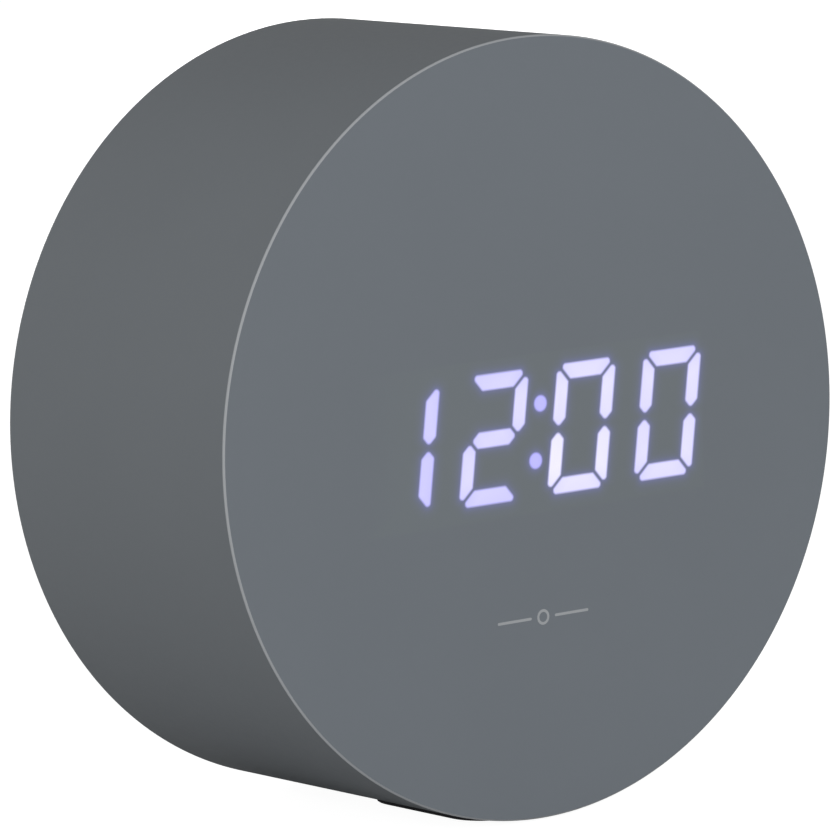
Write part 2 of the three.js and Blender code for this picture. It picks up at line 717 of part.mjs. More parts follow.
function mainBoard() {
  const { halfWidth, low, high, rearY, corner } = MAIN_BOARD;
  const centreZ = (low + high) / 2;
  const outline = roundedRectangle(0, centreZ, 2 * halfWidth, high - low, corner);
  for (const [x, z] of boardPosts) {
    const hole = new THREE.Path();
    hole.absarc(x, z, BOARD_HOLE, 0, 2 * Math.PI, true);
    outline.holes.push(hole);
  }
  add("main_board", plate(outline, MAIN_BOARD_FRONT_Y, rearY, 4), MATERIAL.greenBoard);

  boardPosts.forEach(([x, z], i) => {
    const screw = panScrew(x, z, MAIN_BOARD_FRONT_Y, 1, BOARD_SCREW);
    add("board_screw_" + (i + 1), screw, MATERIAL.screwSteel);
  });

  const faceY = MAIN_BOARD_FRONT_Y;
  const half = CHIP.size / 2;
  const chip = box(
    CHIP.x - half,
    CHIP.x + half,
    faceY - CHIP.height,
    faceY,
    CHIP.z - half,
    CHIP.z + half,
  );
  add("controller_chip", chip, MATERIAL.blackPlastic);
  const can = roundedRectangle(CRYSTAL.x, CRYSTAL.z, CRYSTAL.width, CRYSTAL.length, CRYSTAL.corner);
  add("quartz_crystal", plate(can, faceY - CRYSTAL.height, faceY, 5), MATERIAL.brightMetal);
  const sensor = new THREE.CylinderGeometry(SENSOR.radius, SENSOR.radius, SENSOR.length, 20);
  const sensorY = faceY - SENSOR.radius - SENSOR.lift;
  sensor.rotateZ(Math.PI / 2).translate(SENSOR.x, sensorY, SENSOR.z);
  add("vibration_sensor", sensor, MATERIAL.blackPlastic);

  const buzzerTopY = rearY + BUZZER.height;
  const mouthY = buzzerTopY - BUZZER.mouthDepth;
  const buzzer = cut(
    rod(BUZZER.x, BUZZER.z, BUZZER.radius, rearY, buzzerTopY, 32),
    rod(BUZZER.x, BUZZER.z, BUZZER.mouthRadius, mouthY, buzzerTopY + OVERCUT, 12),
  );
  add("buzzer", buzzer, MATERIAL.blackPlastic);
}

// A USB-C inlet that faces the rear: a metal shell round an open mouth, with its contact tongue.
function usbInlet() {
  const { x, z, width, height, wall, floor } = USB;
  const base = MAIN_BOARD.rearY;
  const mouthY = COVER_REAR_Y - USB.recess;
  const outside = roundedRectangle(x, z, width, height, height / 2 - HAIR);
  const hollow = roundedRectangle(
    x,
    z,
    width - 2 * wall,
    height - 2 * wall,
    height / 2 - wall - HAIR,
  );
  const shell = cut(
    plate(outside, base, mouthY, 6),
    plate(hollow, base + floor, mouthY + OVERCUT, 6),
  );
  add("usb_shell", shell, MATERIAL.brightMetal);
  const { halfWidth, halfHeight, lift, setback } = USB_TONGUE;
  const tongue = box(
    x - halfWidth,
    x + halfWidth,
    base + floor + lift,
    mouthY - setback,
    z - halfHeight,
    z + halfHeight,
  );
  add("usb_tongue", tongue, MATERIAL.blackPlastic);
}

// Four push buttons: each cap drives the plunger of a tact switch on the board.
function buttons() {
  const names = ["brightness", "down", "up", "mode"];
  const bodyRearY = MAIN_BOARD.rearY + TACT.height;
  const plungerRearY = bodyRearY + TACT.plungerProud;
  const wellRadius = TACT.plungerRadius + TACT.wellGap;
  const flangeRearY = plungerRearY + BUTTON.flangeThickness;
  buttonPlaces.forEach((x, i) => {
    const half = TACT.size / 2;
    const body = cut(
      box(x - half, x + half, MAIN_BOARD.rearY, bodyRearY, BUTTON.row - half, BUTTON.row + half),
      rod(x, BUTTON.row, wellRadius, bodyRearY - TACT.wellDepth, bodyRearY + OVERCUT, 20),
    );
    add(names[i] + "_switch", body, MATERIAL.blackPlastic);
    const plungerY = bodyRearY - TACT.plungerSunk;
    const plunger = rod(x, BUTTON.row, TACT.plungerRadius, plungerY, plungerRearY, 20);
    add(names[i] + "_plunger", plunger, MATERIAL.blackPlastic);
    const top = COVER_REAR_Y + BUTTON.proud;
    const cap = turned(
      [
        [0, plungerRearY],
        [BUTTON.flangeRadius, plungerRearY],
        [BUTTON.flangeRadius, flangeRearY],
        [BUTTON.capRadius, flangeRearY],
        [BUTTON.capRadius, top - BUTTON.edge],
        [BUTTON.capRadius - BUTTON.edge, top],
        [BUTTON.dishRadius, top],
        [0, top - BUTTON.dishDepth],
      ],
      24,
    );
    add(names[i] + "_button", cap.translate(x, 0, BUTTON.row), MATERIAL.greyButton);
  });
}

// The alarm's on-off switch slides sideways in the cover's slot.
function alarmSwitch() {
  const { x, z, width, height, depth, travel } = ALARM_SWITCH;
  const base = MAIN_BOARD.rearY;
  const blockAt = (centreX, { halfWidth, halfHeight }, y0, y1) =>
    box(centreX - halfWidth, centreX + halfWidth, y0, y1, z - halfHeight, z + halfHeight);
  const body = cut(
    box(x - width / 2, x + width / 2, base, base + depth, z - height / 2, z + height / 2),
    blockAt(x, ALARM_CHANNEL, base + ALARM_CHANNEL.floor, base + depth + OVERCUT),
  );
  add("alarm_switch_body", body, MATERIAL.blackPlastic);
  const restX = x - travel / 2;
  const top = COVER_REAR_Y + ALARM_KNOB.proud;
  const stem = blockAt(restX, ALARM_STEM, base + ALARM_STEM.from, base + ALARM_STEM.to);
  const knob = blockAt(restX, ALARM_KNOB, base + depth + ALARM_KNOB.lift, top);
  const grooves = [-1, 0, 1].map((step) => {
    const size = { halfWidth: ALARM_GROOVE.halfWidth, halfHeight: height };
    const grooveX = restX + step * ALARM_GROOVE.spacing;
    return blockAt(grooveX, size, top - ALARM_GROOVE.depth, top + OVERCUT);
  });
  add("alarm_switch_knob", cut(join(stem, knob), ...grooves), MATERIAL.greyButton);
}

// ---------------------------------------------------------------- batteries

const cellPlaces = [1, 0, -1].map((step) => BAY.centreZ + step * CELL.pitch);
const polePointsRight = [1, -1, 1]; // +1 where the cell's positive pole points along +X

function contactSlots() {
  const end = BAY.width / 2 + BAY.wall / 2;
  return [
    [end, cellPlaces[0]],
    [-end, cellPlaces[2]],
  ];
}

function cells() {
  cellPlaces.forEach((z, i) => {
    const { radius, length, nubRadius, nubLength } = CELL;
    const shoulder = length - nubLength;
    const cell = turned(
      [
        [0, 0],
        [radius - CELL_EDGE.base, 0],
        [radius, CELL_EDGE.base],
        [radius, shoulder - CELL_EDGE.shoulder],
        [radius - CELL_EDGE.shoulder, shoulder],
        [nubRadius, shoulder],
        [nubRadius, length],
        [0, length],
      ],
      24,
    );
    cell.rotateZ((-polePointsRight[i] * Math.PI) / 2);
    const buttonReach = SHEET.thickness + POLE_BUTTON.height - POLE_BUTTON.sunk;
    const poleX = CONTACT_X - buttonReach - CONTACT_GAP;
    cell.translate(polePointsRight[i] * (poleX - length), CELL_Y, z);
    add("aaa_cell_" + (i + 1), cell, MATERIAL.cellWrap);
  });
}

// A conical coil that starts in a contact sheet and narrows towards the cell.
class ConeCoil extends THREE.Curve {
  constructor(side, z) {
    super();
    this.side = side;
    this.z = z;
  }
  getPoint(t, target = new THREE.Vector3()) {
    const { baseRadius, tipRadius, turns, start, reach } = COIL;
    const angle = 2 * Math.PI * turns * t;
    const radius = baseRadius + (tipRadius - baseRadius) * t;
    const x = this.side * (CONTACT_X - start - reach * t);
    return target.set(x, CELL_Y + radius * Math.cos(angle), this.z + radius * Math.sin(angle));
  }
}

function coil(side, z) {
  const wire = new THREE.Shape().absarc(0, 0, COIL.wireRadius, 0, 2 * Math.PI);
  return new THREE.ExtrudeGeometry(wire, {
    steps: 30,
    curveSegments: 3,
    extrudePath: new ConeCoil(side, z),
  });
}

function contactSheet(side, zLow, zHigh) {
  const inner = CONTACT_X - SHEET.thickness;
  const [x0, x1] = side > 0 ? [inner, CONTACT_X] : [-CONTACT_X, -inner];
  return box(x0, x1, CELL_Y - SHEET.halfWidth, CELL_Y + SHEET.halfWidth, zLow, zHigh);
}

// A raised button that meets the cell's positive pole.
function poleButton(side, z) {
  const { topRadius, baseRadius, height, sunk } = POLE_BUTTON;
  const button = new THREE.CylinderGeometry(topRadius, baseRadius, height, 20);
  button.rotateZ((side * Math.PI) / 2);
  const x = CONTACT_X - SHEET.thickness + sunk - height / 2;
  return button.translate(side * x, CELL_Y, z);
}

// A solder tag that leaves the bay through a slot in its end wall.
function solderTag(side, z) {
  const { halfWidth, halfHeight, reach } = SOLDER_TAG;
  const [near, far] = [CONTACT_X - SHEET.thickness / 2, BAY.width / 2 + BAY.wall + reach];
  const [x0, x1] = side > 0 ? [near, far] : [-far, -near];
  return box(x0, x1, CELL_Y - halfWidth, CELL_Y + halfWidth, z - halfHeight, z + halfHeight);
}

function contacts() {
  const [top, middle, bottom] = cellPlaces;
  const half = SHEET.halfHeight;
  const sheets = {
    positive_contact: [
      contactSheet(1, top - half, top + half),
      poleButton(1, top),
      solderTag(1, top),
    ],
    left_link_contact: [
      contactSheet(-1, middle - half, top + half),
      coil(-1, top),
      poleButton(-1, middle),
    ],
    right_link_contact: [
      contactSheet(1, bottom - half, middle + half),
      coil(1, middle),
      poleButton(1, bottom),
    ],
    negative_contact: [
      contactSheet(-1, bottom - half, bottom + half),
      coil(-1, bottom),
      solderTag(-1, bottom),
    ],
  };
  for (const [name, pieces] of Object.entries(sheets)) {
    add(name, join(...pieces), MATERIAL.brightMetal);
  }
}

// ---------------------------------------------------------------- wiring

// A flat ribbon from the display board to the control board, folded once on its way.
function ribbon() {
  const { halfWidth, thickness, gap, pull, steps } = RIBBON;
  const header = (y0, z0) =>
    box(-HEADER.halfWidth, HEADER.halfWidth, y0, y0 + HEADER.depth, z0, z0 + HEADER.height);
  const displayRearY = DISPLAY_BOARD.frontY + DISPLAY_BOARD.thickness;
  add("display_header", header(displayRearY, DISPLAY_HEADER_Z), MATERIAL.blackPlastic);
  const rearHeader = header(MAIN_BOARD_FRONT_Y - HEADER.depth, BOARD_HEADER_Z);
  add("board_header", rearHeader, MATERIAL.blackPlastic);

  const startY = displayRearY + HEADER.depth + gap;
  const endY = MAIN_BOARD_FRONT_Y - HEADER.depth - gap;
  const startZ = DISPLAY_HEADER_Z + HEADER.height / 2;
  const endZ = BOARD_HEADER_Z + HEADER.height / 2;
  const line = new THREE.CubicBezierCurve(
    new THREE.Vector2(startY, startZ),
    new THREE.Vector2(startY + pull, startZ),
    new THREE.Vector2(endY - pull, endZ),
    new THREE.Vector2(endY, endZ),
  );
  const [above, below] = [[], []];
  for (let i = 0; i <= steps; i++) {
    const point = line.getPoint(i / steps);
    const tangent = line.getTangent(i / steps);
    const normal = new THREE.Vector2(-tangent.y, tangent.x).multiplyScalar(thickness / 2);
    above.push(point.clone().add(normal));
    below.push(point.clone().sub(normal));
  }
  // The band is drawn in the (Y, Z) plane and then turned to stand across X.
  const band = new THREE.ExtrudeGeometry(new THREE.Shape([...below, ...above.reverse()]), {
    depth: 2 * halfWidth,
    bevelEnabled: false,
  });
  const toClock = new THREE.Matrix4().makeBasis(
    new THREE.Vector3(0, 1, 0),
    new THREE.Vector3(0, 0, 1),
    new THREE.Vector3(1, 0, 0),
  );
  band.applyMatrix4(toClock).translate(-halfWidth, 0, 0);
  add("ribbon_cable", band, MATERIAL.ribbonGrey);
}

function lead(points) {
  const wire = new THREE.Shape().absarc(0, 0, LEAD.radius, 0, 2 * Math.PI);
  const path = new THREE.CatmullRomCurve3(points.map((point) => new THREE.Vector3(...point)));
  const { steps } = LEAD;
  return new THREE.ExtrudeGeometry(wire, { steps, curveSegments: 3, extrudePath: path });
}

function batteryLeads() {
  const tagX = BAY.width / 2 + BAY.wall + SOLDER_TAG.reach + LEAD.tagGap;
  const boardY = MAIN_BOARD_FRONT_Y - LEAD.boardGap;
  const red = lead([
    [tagX, CELL_Y, cellPlaces[0]],
    [tagX + 1, CELL_Y - 4, cellPlaces[0] + 2],
    [tagX, CELL_Y - 8, cellPlaces[0] + 8],
    [tagX - 4, CELL_Y - 7, cellPlaces[0] + 14],
    [tagX - 7, CELL_Y - 5, cellPlaces[0] + 17.5],
    [tagX - 7, boardY, cellPlaces[0] + 17.5],
  ]);
  add("red_battery_lead", red, MATERIAL.redWire);
  const black = lead([
    [-tagX, CELL_Y, cellPlaces[2]],
    [-tagX - 1, CELL_Y - 4, cellPlaces[2] + 2],
    [-tagX - 1, CELL_Y - 9, cellPlaces[2] + 16],
    [-tagX, CELL_Y - 8, cellPlaces[2] + 30],
    [-tagX + 6, CELL_Y - 5.5, cellPlaces[2] + 39],
    [-tagX + 7, boardY, cellPlaces[2] + 40],
  ]);
  add("black_battery_lead", black, MATERIAL.blackWire);
}

// ---------------------------------------------------------------- the clock

frontFilm();
frontShell();
feet();
rearCover();
coverScrews();
batteryDoor();
displayReflector();
digitLenses();
displayBoard();
mainBoard();
usbInlet();
buttons();
alarmSwitch();
cells();
contacts();
ribbon();
batteryLeads();

export default clock;
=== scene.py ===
"""The looks of a drum-shaped desk clock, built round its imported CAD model.

The smooth casing, the glowing front film, the rear panel with its controls, the battery bay and its
cells are made here as meshes. The boards and parts sealed inside keep their CAD shape and get
materials. Shapes are drawn in millimetres about the drum's axis: x to the right, y to the rear and
z up. They are placed in the frame's metres when their object is made.
"""

import math

import bmesh
import bpy
import numpy as np
from mathutils import Matrix, Vector
from mathutils.geometry import delaunay_2d_cdt

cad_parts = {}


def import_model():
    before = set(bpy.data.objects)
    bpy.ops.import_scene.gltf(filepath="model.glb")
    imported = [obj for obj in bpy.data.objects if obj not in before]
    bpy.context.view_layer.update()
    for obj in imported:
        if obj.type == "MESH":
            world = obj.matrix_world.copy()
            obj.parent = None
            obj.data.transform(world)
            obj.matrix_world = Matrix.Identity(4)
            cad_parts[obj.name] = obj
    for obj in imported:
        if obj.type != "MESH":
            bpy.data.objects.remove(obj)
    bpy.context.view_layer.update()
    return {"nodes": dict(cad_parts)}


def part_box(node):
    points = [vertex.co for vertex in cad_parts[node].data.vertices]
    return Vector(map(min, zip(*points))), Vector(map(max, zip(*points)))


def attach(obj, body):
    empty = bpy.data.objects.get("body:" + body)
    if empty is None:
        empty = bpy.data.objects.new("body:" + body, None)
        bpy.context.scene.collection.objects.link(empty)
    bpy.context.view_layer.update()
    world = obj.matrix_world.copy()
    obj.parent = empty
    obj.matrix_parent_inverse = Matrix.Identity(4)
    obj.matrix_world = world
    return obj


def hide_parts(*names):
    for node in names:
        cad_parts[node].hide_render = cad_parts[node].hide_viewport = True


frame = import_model()

MM = 0.001
SHELL_BOX = [(low / MM, high / MM) for low, high in zip(*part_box("front_shell"))]
RADIUS = (SHELL_BOX[0][1] - SHELL_BOX[0][0]) / 2
AXIS = (0.0, 0.0, sum(SHELL_BOX[2]) / 2)


def spans(node):
    """A CAD node's box in millimetres about the drum's axis: ((x0, x1), (y0, y1), (z0, z1))."""
    low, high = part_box(node)
    return tuple((low[i] / MM - AXIS[i], high[i] / MM - AXIS[i]) for i in range(3))


def middle(node):
    """The centre of a CAD node's box, in millimetres about the drum's axis."""
    return tuple((low + high) / 2 for low, high in spans(node))


def centre_of(node):
    """Where a CAD node's centre lies in the x, z plane."""
    x, _, z = middle(node)
    return x, z


def extent(node):
    """The width, depth and height of a CAD node's box."""
    return tuple(high - low for low, high in spans(node))


FRONT_Y = spans("front_film")[1][0]
SHELL_FRONT_Y, REAR_Y = spans("front_shell")[1]
COVER_REAR_Y = spans("rear_cover")[1][1]
COVER_RADIUS = spans("rear_cover")[0][1]
COVER_THICKNESS = 2.2
COVER_FRONT_Y = COVER_REAR_Y - COVER_THICKNESS

ROUND = 256  # corners of the drum's large circles
ARC_STEPS = 4  # steps in a small rounded edge
SHARP = 35  # degrees from which an edge stays crisp
SLIVER = 0.01  # the least corner radius, and how far a round end stops short of a half circle

# ---- outlines in the x, z plane


def circle(x, z, radius, count):
    angles = [2 * math.pi * i / count for i in range(count)]
    return [(x + radius * math.cos(a), z + radius * math.sin(a)) for a in angles]


def rounded_box(x, z, width, height, radius, steps=6):
    """A rectangle with round corners, anticlockwise from its lower right corner."""
    points = []
    corners = [(1, -1, -90), (1, 1, 0), (-1, 1, 90), (-1, -1, 180)]
    for sx, sz, start in corners:
        cx = x + sx * (width / 2 - radius)
        cz = z + sz * (height / 2 - radius)
        for i in range(steps + 1):
            a = math.radians(start + 90 * i / steps)
            points.append((cx + radius * math.cos(a), cz + radius * math.sin(a)))
    return points


def round_outline(x, z, radius, count):
    """A circle, as a function from how far it grows to its outline."""
    return lambda grow: circle(x, z, radius + grow, count)


def box_outline(x, z, width, height, radius, steps=6):
    """A rounded rectangle, as a function from how far it grows to its outline."""

    def outline_at(grow):
        corner = max(radius + grow, SLIVER)
        return rounded_box(x, z, width + 2 * grow, height + 2 * grow, corner, steps)

    return outline_at


def edge_steps(radius, steps=ARC_STEPS):
    """A quarter-round edge as (inset, drop) pairs, from the flat face over to the wall."""
    if not radius:
        return [(0, 0)]
    angles = [math.pi / 2 * i / steps for i in range(steps + 1)]
    return [(radius * (1 - math.sin(a)), radius * (1 - math.cos(a))) for a in angles]


# ---- gathering a mesh


class Maker:
    """Gathers points and faces in millimetres, and makes them into one object."""

    def __init__(self):
        self.points = []
        self.faces = []
        self.face_slots = []

    def ring(self, outline, y):
        start = len(self.points)
        self.points += [(x, y, z) for x, z in outline]
        return list(range(start, len(self.points)))

    def face(self, corners, slot=0):
        self.faces.append(tuple(corners))
        self.face_slots.append(slot)

    def bridge(self, first, second, slot=0):
        """Joins two rings of as many corners each. A ring of one corner is a point on the axis."""
        count = max(len(first), len(second))
        for i in range(count):
            j = (i + 1) % count
            if len(first) == 1:
                self.face((first[0], second[i], second[j]), slot)
            elif len(second) == 1:
                self.face((first[i], second[0], first[j]), slot)
            else:
                self.face((first[i], second[i], second[j], first[j]), slot)

    def chain(self, rings, slot=0):
        for first, second in zip(rings, rings[1:]):
            self.bridge(first, second, slot)

    def skin(self, rings):
        """Walls through the rings, closed by a flat face at each end."""
        self.chain(rings)
        self.flat(rings[0])
        self.flat(rings[-1])

    def flat(self, outer, holes=(), slot=0, drawn=(), slot_of=None):
        """A flat face inside the ring outer, round the rings in holes, with the outlines in
        drawn marked on it. slot_of gives a triangle's material from its centre."""
        y = self.points[outer[0]][1]
        known = [i for ring in (outer, *holes) for i in ring]
        walls = [self.outline(ring) for ring in (outer, *holes)]
        corners, edges = [], []
        for loop in (*walls, *drawn):
            start = len(corners)
            corners += loop
            edges += [(start + i, start + (i + 1) % len(loop)) for i in range(len(loop))]
        found = delaunay_2d_cdt([Vector(p) for p in corners], edges, [], 0, 1e-5)
        new_points, _, triangles, origins = found[:4]
        number = []
        for point, origin in zip(new_points, origins):
            same = [known[i] for i in origin if i < len(known)]
            if not same:
                same = [len(self.points)]
                self.points.append((point[0], y, point[1]))
            number.append(same[0])
        places = np.array([tuple(p) for p in new_points])
        centres = places[np.array([tuple(t) for t in triangles])].mean(axis=1)
        keep = inside(centres, walls[0])
        for hole in walls[1:]:
            keep &= ~inside(centres, hole)
        for triangle, centre, wanted in zip(triangles, centres, keep):
            if wanted:
                self.face([number[i] for i in triangle], slot_of(centre) if slot_of else slot)

    def outline(self, ring):
        return [(self.points[i][0], self.points[i][2]) for i in ring]

    def add(self, other, offset=(0, 0, 0)):
        start = len(self.points)
        self.points += [tuple(a + b for a, b in zip(p, offset)) for p in other.points]
        self.faces += [tuple(start + i for i in face) for face in other.faces]
        self.face_slots += other.face_slots

    def turn(self, matrix):
        """Turns or moves all points by a matrix, in millimetres."""
        self.points = [tuple(matrix @ Vector(p)) for p in self.points]
        return self

    def spin(self, angle, axis):
        return self.turn(Matrix.Rotation(angle, 4, axis))

    def move(self, x, y, z):
        return self.turn(Matrix.Translation((x, y, z)))

    def make(self, name, paints, sharp=SHARP):
        mesh = bpy.data.meshes.new(name)
        placed = [[(p[i] + AXIS[i]) * MM for i in range(3)] for p in self.points]
        mesh.from_pydata(placed, [], self.faces)
        for paint in paints:
            mesh.materials.append(paint.material)
        mesh.polygons.foreach_set("material_index", self.face_slots)
        work = bmesh.new()
        work.from_mesh(mesh)
        bmesh.ops.recalc_face_normals(work, faces=work.faces)
        work.to_mesh(mesh)
        work.free()
        piece = new_object(name, mesh)
        soften(piece, sharp)
        return piece


def new_object(name, data):
    made = bpy.data.objects.new(name, data)
    bpy.context.scene.collection.objects.link(made)
    return made


def inside(points, outline):
    """Which of the points lie inside a closed outline, by counting the edges to their right."""
    x, z = points[:, 0], points[:, 1]
    crossed = np.zeros(len(points), bool)
    for (x0, z0), (x1, z1) in zip(outline, outline[1:] + outline[:1]):
        if z0 != z1:
            spans_z = (z0 > z) != (z1 > z)
            crossed ^= spans_z & (x < x0 + (z - z0) * (x1 - x0) / (z1 - z0))
    return crossed


def soften(piece, sharp):
    """Smooth shading that stays crisp at corners over sharp degrees."""
    piece.data.shade_smooth()
    piece.data.set_sharp_from_angle(angle=math.radians(sharp))
    weighted = piece.modifiers.new("flat faces stay flat", "WEIGHTED_NORMAL")
    weighted.keep_sharp = True


def revolve(profile, count, slots=None):
    """A closed solid of revolution about the y axis, from (radius, y) pairs that start and end on it."""
    maker = Maker()
    rings = [maker.ring(circle(0, 0, r, count) if r > 0 else [(0, 0)], y) for r, y in profile]
    for first, second, slot in zip(rings, rings[1:], slots or [0] * len(rings)):
        maker.bridge(first, second, slot)
    return maker


def slab(outline_at, y0, y1, front_edge=0.0, rear_edge=0.0):
    """A flat plate from y0 to y1 with rounded edges. outline_at(grow) gives its outline."""
    maker = Maker()
    front = [(-inset, y0 + drop) for inset, drop in edge_steps(front_edge)]
    rear = [(-inset, y1 - drop) for inset, drop in reversed(edge_steps(rear_edge))]
    maker.skin([maker.ring(outline_at(grow), y) for grow, y in front + rear])
    return maker


def block(x0, x1, y0, y1, z0, z1, corner, edge):
    """A small moulded block with rounded corners and edges."""
    outline_at = box_outline((x0 + x1) / 2, (z0 + z1) / 2, x1 - x0, z1 - z0, corner, 3)
    return slab(outline_at, y0, y1, edge, edge)


def tube(points, radius, sides=12):
    """A round wire along a list of points, closed at both ends."""
    maker = Maker()
    path = [Vector(p) for p in points]
    side = None
    rings = []
    for i, here in enumerate(path):
        ahead = (path[min(i + 1, len(path) - 1)] - path[max(i - 1, 0)]).normalized()
        side = ahead.orthogonal() if side is None else side - ahead * side.dot(ahead)
        side.normalize()
        across = ahead.cross(side)
        start = len(maker.points)
        for k in range(sides):
            a = 2 * math.pi * k / sides
            maker.points.append(tuple(here + radius * (math.cos(a) * side + math.sin(a) * across)))
        rings.append(list(range(start, len(maker.points))))
    maker.chain(rings)
    maker.face(rings[0])
    maker.face(rings[-1])
    return maker


def combine(piece, tools, operation):
    """Joins the solids of a Maker to a piece with UNION, or cuts them out with DIFFERENCE."""
    tool = tools.make("tool", [])
    piece.modifiers.clear()
    change = piece.modifiers.new("combine", "BOOLEAN")
    change.operation = operation
    change.solver = "EXACT"
    change.object = tool
    result = piece.evaluated_get(bpy.context.evaluated_depsgraph_get())
    piece.data = bpy.data.meshes.new_from_object(result)
    piece.modifiers.clear()
    bpy.data.objects.remove(tool)
    soften(piece, SHARP)


# ---- materials

WAVE_PERIOD = 0.314  # of a wave texture's stripes at a scale of 1


def new_node(tree, kind, **values):
    """Adds a node to a tree, with its properties or sockets set by name."""
    made = tree.nodes.new(kind)
    for key, value in values.items():
        if hasattr(made, key):
            setattr(made, key, value)
        else:
            made.inputs[key].default_value = value
    return made


class Paint:
    """A procedural material that starts from plain values."""

    def __init__(self, name, color, roughness, metallic=0.0, specular=0.5):
        self.material = bpy.data.materials.new(name)
        self.material.use_nodes = True
        self.tree = self.material.node_tree
        self.shader = self.tree.nodes["Principled BSDF"]
        self.color = color
        self.set("Base Color", (*color, 1))
        self.set("Roughness", roughness)
        self.set("Metallic", metallic)
        self.set("Specular IOR Level", specular)
        self.place = self.node("ShaderNodeTexCoord").outputs["Object"]

    def node(self, kind, **values):
        return new_node(self.tree, kind, **values)

    def set(self, socket, value):
        self.shader.inputs[socket].default_value = value

    def link(self, output, socket):
        self.tree.links.new(output, socket)

    def feed(self, name, output):
        """Links an output to one of the shader's own sockets."""
        self.link(output, self.shader.inputs[name])

    def noise(self, size, detail):
        """Noise whose blotches are about size millimetres across."""
        made = self.node("ShaderNodeTexNoise", Scale=1 / (size * MM), Detail=detail)
        self.link(self.place, made.inputs["Vector"])
        return made.outputs["Fac"]

    def drift(self, size, detail, low, high):
        """Noise whose middle values are spread over low to high."""
        limits = {"From Min": 0.3, "From Max": 0.7, "To Min": low, "To Max": high}
        made = self.node("ShaderNodeMapRange", **limits)
        self.link(self.noise(size, detail), made.inputs["Value"])
        return made.outputs["Result"]

    def blend(self, share, low, high):
        """Mixes the base colour from two colours. They are inputs 6 and 7 of a mix node."""
        mix = self.node("ShaderNodeMix", data_type="RGBA")
        mix.inputs[6].default_value = (*low, 1)
        mix.inputs[7].default_value = (*high, 1)
        self.link(share, mix.inputs[0])
        self.feed("Base Color", mix.outputs[2])

    def bump(self, relief, height, strength):
        """Raises the surface by up to that height in millimetres."""
        made = self.node("ShaderNodeBump", Strength=strength, Distance=height * MM)
        self.link(relief, made.inputs["Height"])
        self.feed("Normal", made.outputs["Normal"])
        return self

    def mottle(self, size, spread):
        """Lets the colour drift by a fraction either way over blotches of that size."""
        darker, lighter = ([c * (1 + way * spread) for c in self.color] for way in (-1, 1))
        self.blend(self.drift(size, 3, 0, 1), darker, lighter)
        return self

    def sheen_drift(self, size, low, high):
        """Lets the roughness drift between two values."""
        self.feed("Roughness", self.drift(size, 4, low, high))
        return self

    def grain(self, size, height, strength, detail=2):
        """A raised grain of that size and height, both in millimetres."""
        return self.bump(self.noise(size, detail), height, strength)


def satin(name, color, roughness=0.5):
    """Moulded plastic with a fine satin texture."""
    paint = Paint(name, color, roughness, specular=0.4)
    paint.mottle(30, 0.012).sheen_drift(1.2, roughness - 0.015, roughness + 0.015)
    return paint.grain(0.35, 0.003, 0.5)


def spark_eroded(name, color):
    """Moulded plastic with the coarser texture of a spark-eroded mould."""
    paint = Paint(name, color, 0.6, specular=0.35)
    paint.mottle(12, 0.03).sheen_drift(3, 0.55, 0.7)
    return paint.grain(0.6, 0.02, 0.8, detail=4)


def metal(name, color, roughness):
    """Plated or bare metal, a little uneven in colour and sheen."""
    paint = Paint(name, color, roughness, metallic=1.0)
    paint.mottle(2.5, 0.04).sheen_drift(0.8, roughness * 0.9, roughness * 1.2)
    return paint.grain(0.5, 0.001, 0.4)


def soft_rubber(name, color):
    paint = Paint(name, color, 0.85, specular=0.25)
    return paint.mottle(2, 0.12).grain(0.4, 0.03, 0.8, detail=5)


def striped(name, color, dark, across, width):
    """Plastic with stripes of that width, in millimetres, such as a ribbon cable's conductors."""
    paint = Paint(name, color, 0.5)
    scale = WAVE_PERIOD / (width * MM)
    wave = paint.node("ShaderNodeTexWave", bands_direction=across, Scale=scale)
    paint.link(paint.place, wave.inputs["Vector"])
    paint.blend(wave.outputs["Fac"], dark, color)
    return paint.bump(wave.outputs["Fac"], 0.1, 0.6)


def circuit_board(name):
    """Green solder mask with paler copper tracks under it."""
    mask = (0.012, 0.085, 0.045)
    paint = Paint(name, mask, 0.3)
    colors = {"Color1": (*mask, 1), "Color2": (0.014, 0.095, 0.05, 1), "Mortar": (0.04, 0.2, 0.1, 1)}
    tracks = paint.node("ShaderNodeTexBrick", offset=0.37, Scale=1 / (9 * MM), **colors)
    tracks.inputs["Mortar Size"].default_value = 0.03
    flat = paint.node("ShaderNodeMapping", Rotation=(math.pi / 2, 0, 0))
    paint.link(paint.place, flat.inputs["Vector"])
    paint.link(flat.outputs["Vector"], tracks.inputs["Vector"])
    paint.feed("Base Color", tracks.outputs["Color"])
    return paint.grain(1.5, 0.01, 0.4)


def glowing(name, color, emission, strength):
    """A translucent moulding that gives off its own light."""
    paint = Paint(name, color, 0.35)
    paint.set("Emission Color", (*emission, 1))
    paint.set("Emission Strength", strength)
    return paint.grain(0.5, 0.005, 0.4)


def film(name, color):
    """The front film. Its light is a colour held at each point of its mesh."""
    paint = satin(name, color)
    glow = paint.node("ShaderNodeAttribute", attribute_name="glow")
    paint.feed("Emission Color", glow.outputs["Color"])
    paint.set("Emission Strength", 1.0)
    return paint


